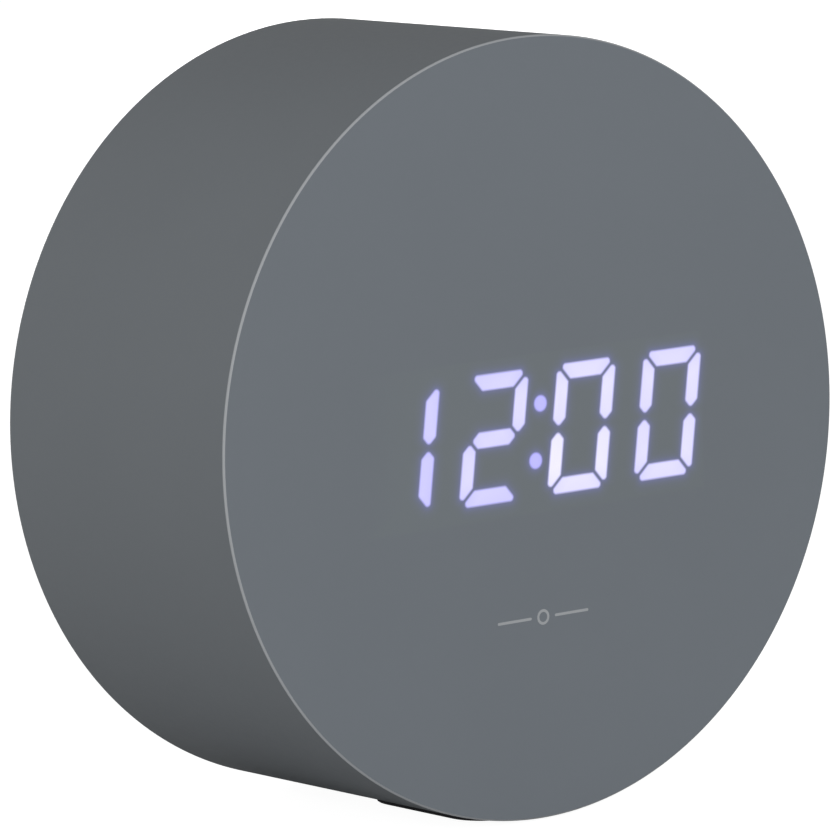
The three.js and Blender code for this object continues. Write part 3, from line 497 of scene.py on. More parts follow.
housing = satin("housing_satin", (0.173, 0.189, 0.204))
face = film("face_film_satin", (0.166, 0.1855, 0.207))
film_edge = satin("film_edge_pale", (0.34, 0.355, 0.37), 0.4)
face_print = satin("pale_print", (0.36, 0.375, 0.39), 0.45)
rear_plastic = spark_eroded("rear_textured", (0.13, 0.139, 0.15))
button_plastic = satin("button_satin", (0.2, 0.213, 0.23), 0.45)
rear_print = satin("rear_print", (0.55, 0.57, 0.6))
rubber = soft_rubber("foot_rubber_black", (0.03, 0.03, 0.032))
zinc = metal("zinc_plate", (0.55, 0.56, 0.58), 0.3)
nickel = metal("nickel_plate", (0.62, 0.61, 0.58), 0.22)
gold = metal("contact_gold", (0.85, 0.6, 0.25), 0.25)
reflector_white = satin("reflector_white_moulding", (0.8, 0.8, 0.82), 0.45)
light_guide = glowing("milky_light_guide", (0.8, 0.8, 0.85), (0.6, 0.56, 1.0), 1.5)
green_board = circuit_board("solder_mask_green")
black_plastic = satin("black_moulding", (0.015, 0.015, 0.017), 0.45)
cell_sleeve = satin("cell_sleeve_blue", (0.03, 0.12, 0.3), 0.25)
cell_band = satin("cell_sleeve_silver", (0.5, 0.51, 0.53), 0.25)
ribbon_vinyl = striped("ribbon_vinyl", (0.34, 0.35, 0.37), (0.2, 0.21, 0.22), "X", 1.27)
red_vinyl = satin("red_vinyl", (0.45, 0.02, 0.015), 0.4)
black_vinyl = satin("black_vinyl", (0.012, 0.012, 0.014), 0.4)


def stands_for(piece, body, slot, *nodes):
    """The piece rides on a body and hides the CAD nodes. Its slot is not used."""
    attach(piece, body)
    if nodes:
        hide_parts(*nodes)
    return piece


# ---- casing

FILM_BEVEL = 0.25
FILM_LIP = 0.12  # how much of its wall is as pale as its bevel
RIM_WALL = 2.2
SHELL_WALL = 3.0
RIM_ROUND = 0.35
RIM_INNER_ROUND = 0.25
FRONT_WALL = 1.5
FRONT_WALL_Y = SHELL_FRONT_Y + FRONT_WALL
INNER_CHAMFER = 1.0
LEDGE_GAP = 0.1  # between the rear cover and the ledge in front of it
WINDOW_MARGIN = 0.4
POST_TOP_Y = -18.6
FOOT_CORNERS = {"front_foot": 7.0, "rear_foot": 4.0}
FOOT_EDGES = {"top_edge": 0.1, "bottom_edge": 0.2}
FOOT_GAP = 0.15
FOOT_LIFT = 0.001  # keeps the pads' undersides just above the floor
POCKET_REACH = 10.0  # how far down a pocket's cutter goes, well past the drum
BOSS = {"radius": 3.6, "pilot": 1.2, "pilot_depth": 12.0, "gap": 0.2}
RIB = {"reach": 7.5, "half": 0.8, "setback": 2.0}
POST = {"radius": 2.6, "pilot": 0.9}
ROOT_OVERLAP = 0.5  # how far bosses and posts reach into the front wall


def shell_profile():
    """The shell's section from the middle of its front wall, round the outside, to the inside."""
    rim, inner = RADIUS - RIM_WALL, RADIUS - SHELL_WALL
    ledge_y = COVER_FRONT_Y - LEDGE_GAP
    profile = [(0, SHELL_FRONT_Y), (RADIUS, SHELL_FRONT_Y)]
    rear = reversed(edge_steps(RIM_ROUND, 8))
    profile += [(RADIUS - inset, REAR_Y - drop) for inset, drop in rear]
    profile += [(rim + inset, REAR_Y - drop) for inset, drop in edge_steps(RIM_INNER_ROUND)]
    profile += [(rim, ledge_y), (inner, ledge_y), (inner, FRONT_WALL_Y + INNER_CHAMFER)]
    return profile + [(inner - INNER_CHAMFER, FRONT_WALL_Y), (0, FRONT_WALL_Y)]


def window_and_foot_pockets():
    tools = Maker()
    (x0, x1), _, (z0, z1) = spans("display_reflector")
    gap = WINDOW_MARGIN
    y0, y1 = SHELL_FRONT_Y - 1, FRONT_WALL_Y + 1
    tools.add(block(x0 - gap, x1 + gap, y0, y1, z0 - gap, z1 + gap, 0.3, 0))
    for node, corner in FOOT_CORNERS.items():
        width, length, _ = extent(node)
        size = (width + 2 * FOOT_GAP, length + 2 * FOOT_GAP, POCKET_REACH)
        x, y, _ = middle(node)
        top = spans(node)[2][1] + FOOT_GAP
        tools.add(upright_pad(size, corner + FOOT_GAP), (x, y, top - POCKET_REACH))
    return tools


def upright_pad(size, corner, top_edge=0.0, bottom_edge=0.0):
    """A pad with rounded corners that stands on z = 0, centred on x and y."""
    width, length, height = size
    outline_at = box_outline(0, 0, width, length, corner, 12)
    return slab(outline_at, -height, 0, top_edge, bottom_edge).spin(-math.pi / 2, "X")


def cover_boss(x, z):
    """A boss for a cover screw, with a rib that ties it to the drum's wall."""
    maker = Maker()
    root_y, top_y = FRONT_WALL_Y - ROOT_OVERLAP, COVER_FRONT_Y - BOSS["gap"]
    rib_y = top_y - RIB["setback"]
    start = math.asin(RIB["half"] / BOSS["radius"])

    def arc(begin, end, steps):
        angles = [begin + (end - begin) * i / steps for i in range(steps + 1)]
        return [(BOSS["radius"] * math.cos(a), BOSS["radius"] * math.sin(a)) for a in angles]

    round_the_back = arc(start, 2 * math.pi - start, 28)
    across_the_rib = arc(-start, start, 4)[1:-1]
    rib_end = [(RIB["reach"], -RIB["half"]), (RIB["reach"], RIB["half"])]
    low = maker.ring(round_the_back + rib_end, root_y)
    high = maker.ring(round_the_back + rib_end, rib_y)
    inner = maker.ring(across_the_rib, rib_y)
    top = maker.ring(round_the_back + across_the_rib, top_y)
    maker.face(low)
    maker.bridge(low, high)
    last = len(round_the_back) - 1
    maker.face([high[last], high[-2], high[-1], high[0], *reversed(inner)])
    maker.bridge(high[: last + 1] + inner, top)
    pilot = circle(0, 0, BOSS["pilot"], 20)
    rim = maker.ring(pilot, top_y)
    bottom = maker.ring(pilot, top_y - BOSS["pilot_depth"])
    maker.flat(top, [rim])
    maker.bridge(rim, bottom)
    maker.flat(bottom)
    return maker.spin(-math.atan2(z, x), "Y").move(x, 0, z)


def display_post(x, z):
    """A hollow post that carries a corner of the display's board."""
    maker = Maker()
    wall = [(POST["radius"], FRONT_WALL_Y - ROOT_OVERLAP), (POST["radius"], POST_TOP_Y)]
    bore = [(POST["pilot"], POST_TOP_Y), (POST["pilot"], FRONT_WALL_Y)]
    maker.skin([maker.ring(circle(x, z, r, 24), y) for r, y in wall + bore])
    return maker


def bosses_and_posts():
    tools = Maker()
    for i in (1, 2, 3, 4):
        tools.add(cover_boss(*centre_of(f"cover_screw_{i}")))
        tools.add(display_post(*centre_of(f"display_screw_{i}")))
    return tools


def drum_shell():
    shell = revolve(shell_profile(), ROUND).make("drum_shell", [housing])
    combine(shell, bosses_and_posts(), "UNION")
    combine(shell, window_and_foot_pockets(), "DIFFERENCE")
    stands_for(shell, "casing", "housing", "front_shell")


def feet():
    for node, corner in FOOT_CORNERS.items():
        x, y, _ = middle(node)
        pad = upright_pad(extent(node), corner, **FOOT_EDGES)
        pad.move(x, y, spans(node)[2][0] + FOOT_LIFT)
        foot = pad.make(node + "_pad", [rubber])
        stands_for(foot, "casing", "foot_rubber", node)


# ---- the lit digits

DIGIT = {"width": 11.8, "height": 19.9, "stroke": 2.5, "gap": 0.45, "corner": 1.3, "lean": 0.144}
COLON_RADIUS = 1.27
COLON_SPACING = 8.67

# How brightly each bar shines, from 0 (the colour DIM) to 1 (the colour BRIGHT).
LIT_BARS = {
    "hour_tens": {"b": 0.42, "c": 0.38},
    "hour_units": {"a": 0.5, "b": 0.62, "g": 0.56, "e": 0.58, "d": 0.44},
    "minute_tens": {"a": 0.68, "b": 0.76, "c": 0.9, "d": 0.76, "e": 0.98, "f": 0.76},
    "minute_units": {"a": 0.62, "b": 0.7, "c": 0.74, "d": 0.68, "e": 0.68, "f": 0.7},
}
COLON_LEVEL = 0.06
END_FADE = 0.22  # how much of the way to DIM a bar's light falls at its ends
DIM = np.array((0.35, 0.32, 0.74))
BRIGHT = np.array((0.75, 0.71, 0.8))
HALO = np.array((0.034, 0.028, 0.2))
HALO_REACH = 0.5
HALO_END = 2.2
EDGE_BLUR = 0.2
WINDOW_GLOW = np.array((0.003, 0.005, 0.001))
BAR_CORNER = 0.6  # rounding of the bars' corners
BAR_INSET = 0.06  # how far the light stays inside a bar's outline


# How far from a lit shape's edge the film's mesh has a line, so that it can hold the light's fall.
LINES_INSIDE = (0.75, EDGE_BLUR)
LINES_OUTSIDE = (0.001, EDGE_BLUR, 0.45, 0.8, 1.3, HALO_END)
TURN_STEP = 0.3  # radians between the corners of a rounded outline
WINDOW_CORNER = 0.5
WINDOW_EDGE = 0.3  # half the width of the window's soft edge


def digit_bars():
    """The seven bars of a digit, a to g, as outlines about its centre."""
    width, height, stroke = DIGIT["width"], DIGIT["height"], DIGIT["stroke"]
    k, c = DIGIT["gap"] / math.sqrt(2), DIGIT["corner"]
    half, mid = stroke / 2, height / 2
    nick = ((c + k) / 2, (c - k) / 2)
    top = [(c, 0), (width - c, 0), (width - nick[0], nick[1])]
    top += [(width - k - stroke, stroke), (k + stroke, stroke), nick]
    left = [(0, c), (nick[1], nick[0]), (stroke, k + stroke)]
    left += [(stroke, mid - k - half), (half, mid - k), (0, mid - k - half)]
    centre = [(half + k, mid), (half + k + half, mid - half), (width - half - k - half, mid - half)]
    centre += [(width - half - k, mid), (width - half - k - half, mid + half)]
    centre += [(half + k + half, mid + half)]

    def across(points):
        return [(width - p, q) for p, q in points]

    def below(points):
        return [(p, height - q) for p, q in points]

    bars = {"a": top, "b": across(left), "c": across(below(left)), "d": below(top)}
    bars.update({"e": below(left), "f": left, "g": centre})
    lean = DIGIT["lean"]
    return {
        name: anticlockwise([(p - width / 2 + lean * (mid - q), mid - q) for p, q in points])
        for name, points in bars.items()
    }


def anticlockwise(points):
    area = sum(a[0] * b[1] - b[0] * a[1] for a, b in zip(points, points[1:] + points[:1]))
    return points if area > 0 else points[::-1]


def lit_shapes():
    """Every lit bar and dot as (outline, level), about the drum's axis."""
    bars = digit_bars()
    shapes = []
    for digit, levels in LIT_BARS.items():
        cx, cz = centre_of(digit + "_lens")
        for bar, level in levels.items():
            outline = [(x + cx, z + cz) for x, z in bars[bar]]
            shapes.append((offset(inset(outline, BAR_CORNER), BAR_CORNER - BAR_INSET), level))
    cx, cz = centre_of("colon_lens")
    for side in (-0.5, 0.5):
        z = side * COLON_SPACING
        dot = circle(cx + DIGIT["lean"] * z, cz + z, COLON_RADIUS - BAR_INSET, 32)
        shapes.append((dot, COLON_LEVEL))
    return shapes


def offset(outline, distance):
    """A convex outline moved outwards by a distance, with round corners."""
    normals = []
    for (ax, az), (bx, bz) in zip(outline, outline[1:] + outline[:1]):
        normals.append(math.atan2(ax - bx, bz - az))
    moved = []
    for i, (x, z) in enumerate(outline):
        before = normals[i - 1]
        turn = (normals[i] - before) % (2 * math.pi)
        steps = max(1, round(turn / TURN_STEP))
        for step in range(steps + 1):
            a = before + turn * step / steps
            moved.append((x + distance * math.cos(a), z + distance * math.sin(a)))
    return moved


def inset(outline, distance):
    """A convex outline, given anticlockwise, with a strip of that width cut off all round."""
    kept = list(outline)
    for (ax, az), (bx, bz) in zip(outline, outline[1:] + outline[:1]):
        length = math.hypot(bx - ax, bz - az)
        if length < 1e-6:
            continue
        nx, nz = (az - bz) / length, (bx - ax) / length
        depths = [(x - ax) * nx + (z - az) * nz - distance for x, z in kept]
        clipped = []
        for i, (x, z) in enumerate(kept):
            j = (i + 1) % len(kept)
            if depths[i] >= 0:
                clipped.append((x, z))
            if (depths[i] >= 0) != (depths[j] >= 0):
                t = depths[i] / (depths[i] - depths[j])
                clipped.append((x + t * (kept[j][0] - x), z + t * (kept[j][1] - z)))
        kept = clipped
    return [p for i, p in enumerate(kept) if math.dist(p, kept[i - 1]) > 0.01]


def distance_to(points, outline):
    """Signed distance from each point to a convex outline, negative inside."""
    nearest = np.full(len(points), 1e9)
    for a, b in zip(outline, outline[1:] + outline[:1]):
        a, b = np.array(a), np.array(b)
        along = b - a
        if along @ along < 1e-12:
            continue
        share = np.clip((points - a) @ along / (along @ along), 0, 1)
        gap = points - (a + share[:, None] * along)
        nearest = np.minimum(nearest, np.hypot(gap[:, 0], gap[:, 1]))
    return np.where(inside(points, outline), -nearest, nearest)


def glow_colors(points, shapes):
    """The light that leaves the film at each point."""
    light = np.zeros((len(points), 3))
    nearest = np.full(len(points), 1e9)
    for outline, level in shapes:
        distance = distance_to(points, outline)
        nearest = np.minimum(nearest, distance)
        corners = np.array(outline)
        centre = corners.mean(axis=0)
        away = np.hypot(*(points - centre).T) / np.hypot(*(corners - centre).T).max()
        shine = np.clip(level - END_FADE * away**2, 0, 1)[:, None]
        edge = np.clip(0.5 - distance / (2 * EDGE_BLUR), 0, 1)
        light += (edge**2 * (3 - 2 * edge))[:, None] * (DIM + (BRIGHT - DIM) * shine)
    halo = np.exp(-np.maximum(nearest, 0) / HALO_REACH) - math.exp(-HALO_END / HALO_REACH)
    light += np.maximum(halo, 0)[:, None] * HALO
    light += inside(points, window_outline(-WINDOW_EDGE))[:, None] * WINDOW_GLOW
    return light


def window_outline(grow):
    """The display's window as it shows through the film."""
    width, _, height = extent("display_reflector")
    return box_outline(*centre_of("display_reflector"), width, height, WINDOW_CORNER)(grow)


MARK_Z = -28.9
MARK_RING = (1.2, 0.78)
MARK_LINE = {"from": 2.3, "to": 9.0, "thickness": 0.42}


def mark_outlines():
    """A wordless printed mark: a small ring between two short lines."""
    outlines = [circle(0, MARK_Z, radius, 32) for radius in MARK_RING]
    start, end, thickness = MARK_LINE["from"], MARK_LINE["to"], MARK_LINE["thickness"]
    for side in (-1, 1):
        x = side * (start + end) / 2
        outlines.append(rounded_box(x, MARK_Z, end - start, thickness, thickness / 2 - SLIVER, 3))
    return outlines


def face_film():
    maker = Maker()
    bevel = [(FILM_BEVEL * (1 - t), FILM_BEVEL * t) for t in (0, 0.5, 1)]
    bevel.append((0, FILM_BEVEL + FILM_LIP))
    rings = [maker.ring(circle(0, 0, RADIUS - inset, ROUND), FRONT_Y + drop) for inset, drop in bevel]
    back = maker.ring(circle(0, 0, RADIUS, ROUND), SHELL_FRONT_Y)
    shapes = lit_shapes()
    loops = [window_outline(WINDOW_EDGE), window_outline(-WINDOW_EDGE)]
    for outline, _ in shapes:
        loops += [inset(outline, distance) for distance in LINES_INSIDE]
        loops += [offset(outline, distance) for distance in LINES_OUTSIDE]
    ring_out, ring_in, *lines = mark_outlines()

    def slot_of(centre):
        point = np.array([centre])
        in_ring = inside(point, ring_out)[0] and not inside(point, ring_in)[0]
        return 2 if in_ring or any(inside(point, line)[0] for line in lines) else 0

    first = len(maker.points)
    maker.flat(rings[0], drawn=loops + [ring_out, ring_in, *lines], slot_of=slot_of)
    maker.chain(rings, 1)
    maker.bridge(rings[-1], back, 3)
    maker.flat(back, slot=3)
    film_piece = maker.make("face_film", [face, film_edge, face_print, housing], sharp=20)
    points = np.array([(p[0], p[2]) for p in maker.points])
    light = np.zeros((len(points), 4))
    light[first:, :3] = glow_colors(points[first:], shapes)
    light[:, 3] = 1
    held = film_piece.data.attributes.new("glow", "FLOAT_COLOR", "POINT")
    held.data.foreach_set("color", light.astype(np.float32).ravel())
    stands_for(film_piece, "casing", "face_film", "front_film")


# ---- rear panel

SCREWS = [f"cover_screw_{i}" for i in range(1, 5)]
BOARD_SCREWS = [f"board_screw_{i}" for i in range(1, 5)]
CELLS = [f"aaa_cell_{i}" for i in (1, 2, 3)]
BUTTONS = ("brightness", "down", "up", "mode")
SCREW_SEAT = {"radius": 3.2, "depth": 1.3, "hole": 1.7}
BUTTON_HOLE = 4.35
GRILLE = {"hole": 0.8, "ring": 2.9}
INLET_HOLE = {"margin": 0.8, "corner": 2.0}
ALARM_SLOT = {"width": 7.0, "height": 3.4, "radius": 0.6}
DOOR_HEIGHT = 37.0
DOOR_THICKNESS = 2.0
DOOR_FRONT_Y = COVER_REAR_Y - DOOR_THICKNESS
DOOR_GAP = 0.3
DOOR_CORNER = 1.2
DOOR_REST = 0.1
BAY = {"width": 51.0, "height": 35.8, "wall": 2.4, "floor_y": 12.4, "corner": 0.6}
BAY_FILLET = 0.4
BAY_OUTER_CORNER = 1.5
BOARD_POST_RADIUS = 2.3
TAB = {"x": 15.0, "width": 6.0, "reach": 1.8, "root": 2.6, "foot": 1.2, "y0": 22.6, "y1": 23.5}
TAB_OVERLAP = 0.2
TAB_SLOT = {"margin": 0.5, "front_y": 21.6, "below": 4.0, "above": 2.4}
TAG_SLOT = {"half_depth": 1.3, "half_height": 0.5, "margin": 0.8}
CRADLE = {"half": 0.5, "end_gap": 1.6, "root": 0.2, "below_cells": 2.8}


def sunk_hole(maker, outline_at, steps, soft=0.2, rear_y=COVER_REAR_Y):
    """A hole with a soft edge at rear_y. outline_at(grow) gives its outline, and steps lists
    (grow, y) pairs from the rear to the front. Returns its rings, the rear one first."""
    levels = [(inset, rear_y - drop) for inset, drop in edge_steps(soft)]
    rings = [maker.ring(outline_at(grow), y) for grow, y in levels + steps]
    maker.chain(rings)
    return rings


def panel_edge(maker, outline_at, soft, front_y):
    """A panel's rounded edge and wall. Returns its rings, the rear one first."""
    levels = [(-inset, COVER_REAR_Y - drop) for inset, drop in edge_steps(soft)]
    rings = [maker.ring(outline_at(grow), y) for grow, y in levels + [(0, front_y)]]
    maker.chain(rings)
    return rings


def standing(maker, outline, far_y):
    """A solid that stands on the panel's front face. Returns its ring on that face."""
    near, far = maker.ring(outline, COVER_FRONT_Y), maker.ring(outline, far_y)
    maker.bridge(near, far)
    maker.flat(far)
    return near


def grille_centres():
    x, z = centre_of("buzzer")
    rings = [circle(x, z, GRILLE["ring"] * ring, 6 * ring) for ring in (1, 2)]
    return [(x, z), *rings[0], *rings[1]]


def panel_holes():
    """The panel's screw seats, round holes and slots, as (outline, steps, soft) for sunk_hole."""
    through = [(0, COVER_FRONT_Y)]
    seat_y = COVER_REAR_Y - SCREW_SEAT["depth"]
    step = SCREW_SEAT["hole"] - SCREW_SEAT["radius"]
    seated = [(0, seat_y), (step, seat_y), (step, COVER_FRONT_Y)]
    screws = [centre_of(node) for node in SCREWS]
    buttons = [centre_of(button + "_button") for button in BUTTONS]
    width, _, height = extent("usb_shell")
    margin, corner = INLET_HOLE["margin"], INLET_HOLE["corner"]
    inlet = box_outline(*centre_of("usb_shell"), width + margin, height + margin, corner)
    slot = box_outline(*centre_of("alarm_switch_body"), **ALARM_SLOT)
    holes = [(round_outline(x, z, SCREW_SEAT["radius"], 48), seated, 0.2) for x, z in screws]
    holes += [(round_outline(x, z, BUTTON_HOLE, 64), through, 0.3) for x, z in buttons]
    holes += [(round_outline(x, z, GRILLE["hole"], 24), through, 0.15) for x, z in grille_centres()]
    return holes + [(inlet, through, 0.25), (slot, through, 0.2)]


def door_place():
    """The door panel's centre, width and height. Its tabs reach above the panel."""
    (x0, x1), _, (z0, _) = spans("battery_door")
    return (x0 + x1) / 2, z0 + DOOR_HEIGHT / 2, x1 - x0, DOOR_HEIGHT


def bay_hollow(maker):
    """The battery bay, from the door's seat down to its floor. Returns its ring on the rear face."""
    x, z, width, height = door_place()
    gap, rest_y, floor_y = 2 * DOOR_GAP, DOOR_FRONT_Y - DOOR_REST, BAY["floor_y"]
    seat = box_outline(x, z, width + gap, height + gap, DOOR_CORNER + DOOR_GAP)
    bay = box_outline(x, z, BAY["width"], BAY["height"], BAY["corner"])
    mouth = sunk_hole(maker, seat, [(0, rest_y)])
    fillet = [(-BAY_FILLET * a, floor_y + BAY_FILLET * b) for a, b in ((0, 1), (0.3, 0.3), (1, 0))]
    inner = sunk_hole(maker, bay, fillet, rear_y=rest_y)
    maker.bridge(mouth[-1], inner[0])
    maker.flat(inner[-1])
    return mouth[0]


def bay_outside(maker):
    """The bay's outer walls. Returns their ring on the panel's front face."""
    x, z, _, _ = door_place()
    width, height = BAY["width"] + 2 * BAY["wall"], BAY["height"] + 2 * BAY["wall"]
    outline = rounded_box(x, z, width, height, BAY_OUTER_CORNER)
    return standing(maker, outline, BAY["floor_y"] - BAY["wall"])


def board_posts(maker):
    board_y = spans("main_board")[1][1]
    posts = [circle(*centre_of(node), BOARD_POST_RADIUS, 32) for node in BOARD_SCREWS]
    return [standing(maker, post, board_y) for post in posts]


def rear_panel():
    maker = Maker()
    outer = panel_edge(maker, round_outline(0, 0, COVER_RADIUS, ROUND), 0.4, COVER_FRONT_Y)
    holes = [sunk_hole(maker, *hole) for hole in panel_holes()]
    rear_rings = [rings[0] for rings in holes] + [bay_hollow(maker)]
    front_rings = [rings[-1] for rings in holes] + [bay_outside(maker)] + board_posts(maker)
    maker.flat(outer[0], rear_rings)
    maker.flat(outer[-1], front_rings)
    panel = maker.make("rear_panel", [rear_plastic])
    combine(panel, bay_slots(), "DIFFERENCE")
    stands_for(panel, "casing", "rear_panel", "rear_cover")


def bay_slots():
    """The openings in the bay's walls for the door's tabs and the solder tags."""
    tools = Maker()
    x, z, _, height = door_place()
    top = z + height / 2
    low, high = top - TAB_SLOT["below"], top + TAB_SLOT["above"]
    half = TAB["width"] / 2 + TAB_SLOT["margin"]
    for tab in (x - TAB["x"], x + TAB["x"]):
        tools.add(block(tab - half, tab + half, TAB_SLOT["front_y"], DOOR_FRONT_Y, low, high, 0.1, 0))
    start = BAY["width"] / 2 - TAG_SLOT["margin"]
    end = BAY["width"] / 2 + BAY["wall"] + TAG_SLOT["margin"]
    deep, tall = TAG_SLOT["half_depth"], TAG_SLOT["half_height"]
    for node, side in (("positive_contact", 1), ("negative_contact", -1)):
        _, y, z = middle(node)
        left, right = sorted((side * start, side * end))
        tools.add(block(left, right, y - deep, y + deep, z - tall, z + tall, 0.1, 0))
    return tools


def bay_cradles():
    """The two ribs on the bay's floor that keep the cells apart."""
    maker = Maker()
    places = sorted(middle(cell)[2] for cell in CELLS)
    end, half = BAY["width"] / 2 - CRADLE["end_gap"], CRADLE["half"]
    y0, y1 = BAY["floor_y"] - CRADLE["root"], middle(CELLS[0])[1] - CRADLE["below_cells"]
    for low, high in zip(places, places[1:]):
        z = (low + high) / 2
        maker.add(block(-end, end, y0, y1, z - half, z + half, 0.4, 0.2))
    ribs = maker.make("bay_cradles", [rear_plastic])
    stands_for(ribs, "casing", "rear_panel")


# ---- battery door

TONGUE_SLOT = {"x": 7.0, "width": 0.8, "height": 7.4, "lift": 1.6}
FINGER_NOTCH = {"width": 10.0, "height": 2.2, "lift": 2.0, "depth": 0.8}
GRIPS = {"lifts": (5.6, 7.0, 8.4), "width": 10.0, "height": 0.6, "depth": 0.4}
ARROW = {"lift": 12.5, "half_width": 2.4, "height": 3.0, "depth": 0.35}


def battery_door():
    x, z, width, height = door_place()
    bottom, top = z - height / 2, z + height / 2
    maker = Maker()
    outer = panel_edge(maker, box_outline(x, z, width, height, DOOR_CORNER), 0.3, DOOR_FRONT_Y)
    rear_rings, front_rings = [], []
    wide, high = TONGUE_SLOT["width"], TONGUE_SLOT["height"]
    slot_z = bottom + TONGUE_SLOT["lift"] + high / 2
    for slot_x in (x - TONGUE_SLOT["x"], x + TONGUE_SLOT["x"]):
        slot = box_outline(slot_x, slot_z, wide, high, wide / 2 - SLIVER, 4)
        rings = sunk_hole(maker, slot, [(0, DOOR_FRONT_Y)], 0.1)
        rear_rings.append(rings[0])
        front_rings.append(rings[-1])
    notch_z = bottom + FINGER_NOTCH["lift"] + FINGER_NOTCH["height"] / 2
    rear_rings.append(pit(maker, x, notch_z, FINGER_NOTCH))
    rear_rings += [pit(maker, x, bottom + lift, GRIPS) for lift in GRIPS["lifts"]]
    rear_rings.append(arrow_pit(maker, x, bottom + ARROW["lift"]))
    maker.flat(outer[0], rear_rings)
    maker.flat(outer[-1], front_rings)
    half, root, foot = TAB["width"] / 2, top - TAB["root"], top - TAB["foot"]
    y0, y1, joined_y = TAB["y0"], TAB["y1"], DOOR_FRONT_Y + TAB_OVERLAP
    for tab in (x - TAB["x"], x + TAB["x"]):
        maker.add(block(tab - half, tab + half, y0, y1, root, top + TAB["reach"], 0.3, 0.15))
        maker.add(block(tab - half, tab + half, y0, joined_y, root, foot, 0.3, 0))
    door = maker.make("battery_door_panel", [rear_plastic])
    stands_for(door, "door", "rear_panel", "battery_door")


def pit(maker, x, z, shape):
    """A shallow rounded recess in the rear face. Returns its ring on that face."""
    radius, depth = shape["height"] / 2 - 2 * SLIVER, shape["depth"]
    outline_at = box_outline(x, z, shape["width"], shape["height"], radius, 5)
    shrink = min(0.45 * depth, 0.6 * radius)
    steps = [(-shrink * 0.3, COVER_REAR_Y - depth * 0.8), (-shrink, COVER_REAR_Y - depth)]
    rings = sunk_hole(maker, outline_at, steps, 0.12)
    maker.flat(rings[-1])
    return rings[0]


def arrow_pit(maker, x, z):
    """A sunk triangle that points to the edge where the door is lifted."""
    half, height = ARROW["half_width"], ARROW["height"]
    corners = [(x, z - height / 2), (x + half, z + height / 2), (x - half, z + height / 2)]
    sunk = [maker.ring(offset(corners, 0.25), COVER_REAR_Y)]
    sunk.append(maker.ring(offset(corners, 0.05), COVER_REAR_Y - ARROW["depth"]))
    maker.chain(sunk)
    maker.flat(sunk[-1])
    return sunk[0]


# ---- rear controls

CAP = {"flange": 0.9, "flange_height": 0.6, "round": 0.45, "rim": 0.9, "dish": 0.28}
ICON_HEIGHT = 0.06
ICON_SINK = 0.02
ICON_DROP = 7.2  # below its button
LAMP = {"radius": 0.55, "rays": 8, "ray_at": 1.15, "ray_width": 0.22, "ray_length": 0.55}
TRIANGLE = {"half": 1.1, "foot": 0.8, "tip": 1.0, "round": 0.08}
RING_RADII = (1.2, 0.85)
BELL_SHIFT = 7.2  # beside its switch
KNOB = {"length": 4.4, "stem_half_width": 1.3, "stem_half_height": 0.7, "overlap": 0.1}
KNOB_RIBS = {"at": (-1.2, -0.4, 0.4, 1.2), "half": 0.22, "rise": 0.35, "root": 0.6, "end": 0.25}
SOCKET = {"wall": 0.3, "floor": 0.6}
STRIP = {"count": 12, "pitch": 0.5, "half": 0.13, "from": 0.3, "to": 0.37, "root": 1.5, "tip": 0.6}
SCREW = {"shank": 1.1, "point": 0.3, "pitch": 0.45, "thread": 0.2, "run_out": 1.2}
HEAD = {"height": 1.2, "edge": 0.3, "dome": 0.9, "round": 0.1}
# The recess's arms at each level: reach and half width as shares of the head's radius, and y.
RECESS = ((0.25, 0.14, -0.85), (0.58, 0.17, 0.0), (0.62, 0.17, 0.3))


def button_caps():
    for button in BUTTONS:
        node = button + "_button"
        y0, y1 = spans(node)[1]
        flange = extent(node)[0] / 2
        cap, shoulder_y = flange - CAP["flange"], y0 + CAP["flange_height"]
        profile = [(0, y0), (flange, y0), (flange, shoulder_y), (cap, shoulder_y)]
        rounded = reversed(edge_steps(CAP["round"], 6))
        profile += [(cap - inset, y1 - drop) for inset, drop in rounded]
        rim = cap - CAP["rim"]
        dish = [1 - t / 6 for t in range(7)]
        profile += [(rim * share, y1 - CAP["dish"] * (1 - share**2)) for share in dish]
        x, z = centre_of(node)
        piece = revolve(profile, 64).move(x, 0, z).make(button + "_cap", [button_plastic])
        stands_for(piece, button + "_key", "button_caps", node)


def icons():
    """Pale printed symbols: a lamp, a down arrow, an up arrow and a ring below the buttons, and a
    bell beside the alarm switch."""
    maker = Maker()
    y0, y1 = COVER_REAR_Y - ICON_SINK, COVER_REAR_Y + ICON_HEIGHT

    def printed(outline):
        return slab(lambda grow: outline, y0, y1)

    centres = [centre_of(button + "_button") for button in BUTTONS]
    lamp, down, up, ring = [(x, z - ICON_DROP) for x, z in centres]
    maker.add(printed(circle(*lamp, LAMP["radius"], 24)))
    ray_outline = rounded_box(0, LAMP["ray_at"], LAMP["ray_width"], LAMP["ray_length"], 0.1, 3)
    for i in range(LAMP["rays"]):
        ray = printed(ray_outline).spin(2 * math.pi / LAMP["rays"] * i, "Y")
        maker.add(ray, (lamp[0], 0, lamp[1]))
    for (x, z), way in ((down, -1), (up, 1)):
        half, foot_z = TRIANGLE["half"], z - TRIANGLE["foot"] * way
        corners = [(x - half, foot_z), (x + half, foot_z), (x, z + TRIANGLE["tip"] * way)]
        maker.add(printed(offset(anticlockwise(corners), TRIANGLE["round"])))
    wide, narrow = RING_RADII
    section = ((wide, y0), (wide, y1), (narrow, y1), (narrow, y0))
    rings = [maker.ring(circle(*ring, radius, 32), y) for radius, y in section]
    maker.chain(rings + rings[:1])
    x, z = centre_of("alarm_switch_body")
    maker.add(printed(bell_outline(x + BELL_SHIFT, z)))
    print_piece = maker.make("rear_symbols", [rear_print])
    stands_for(print_piece, "casing", "rear_panel")


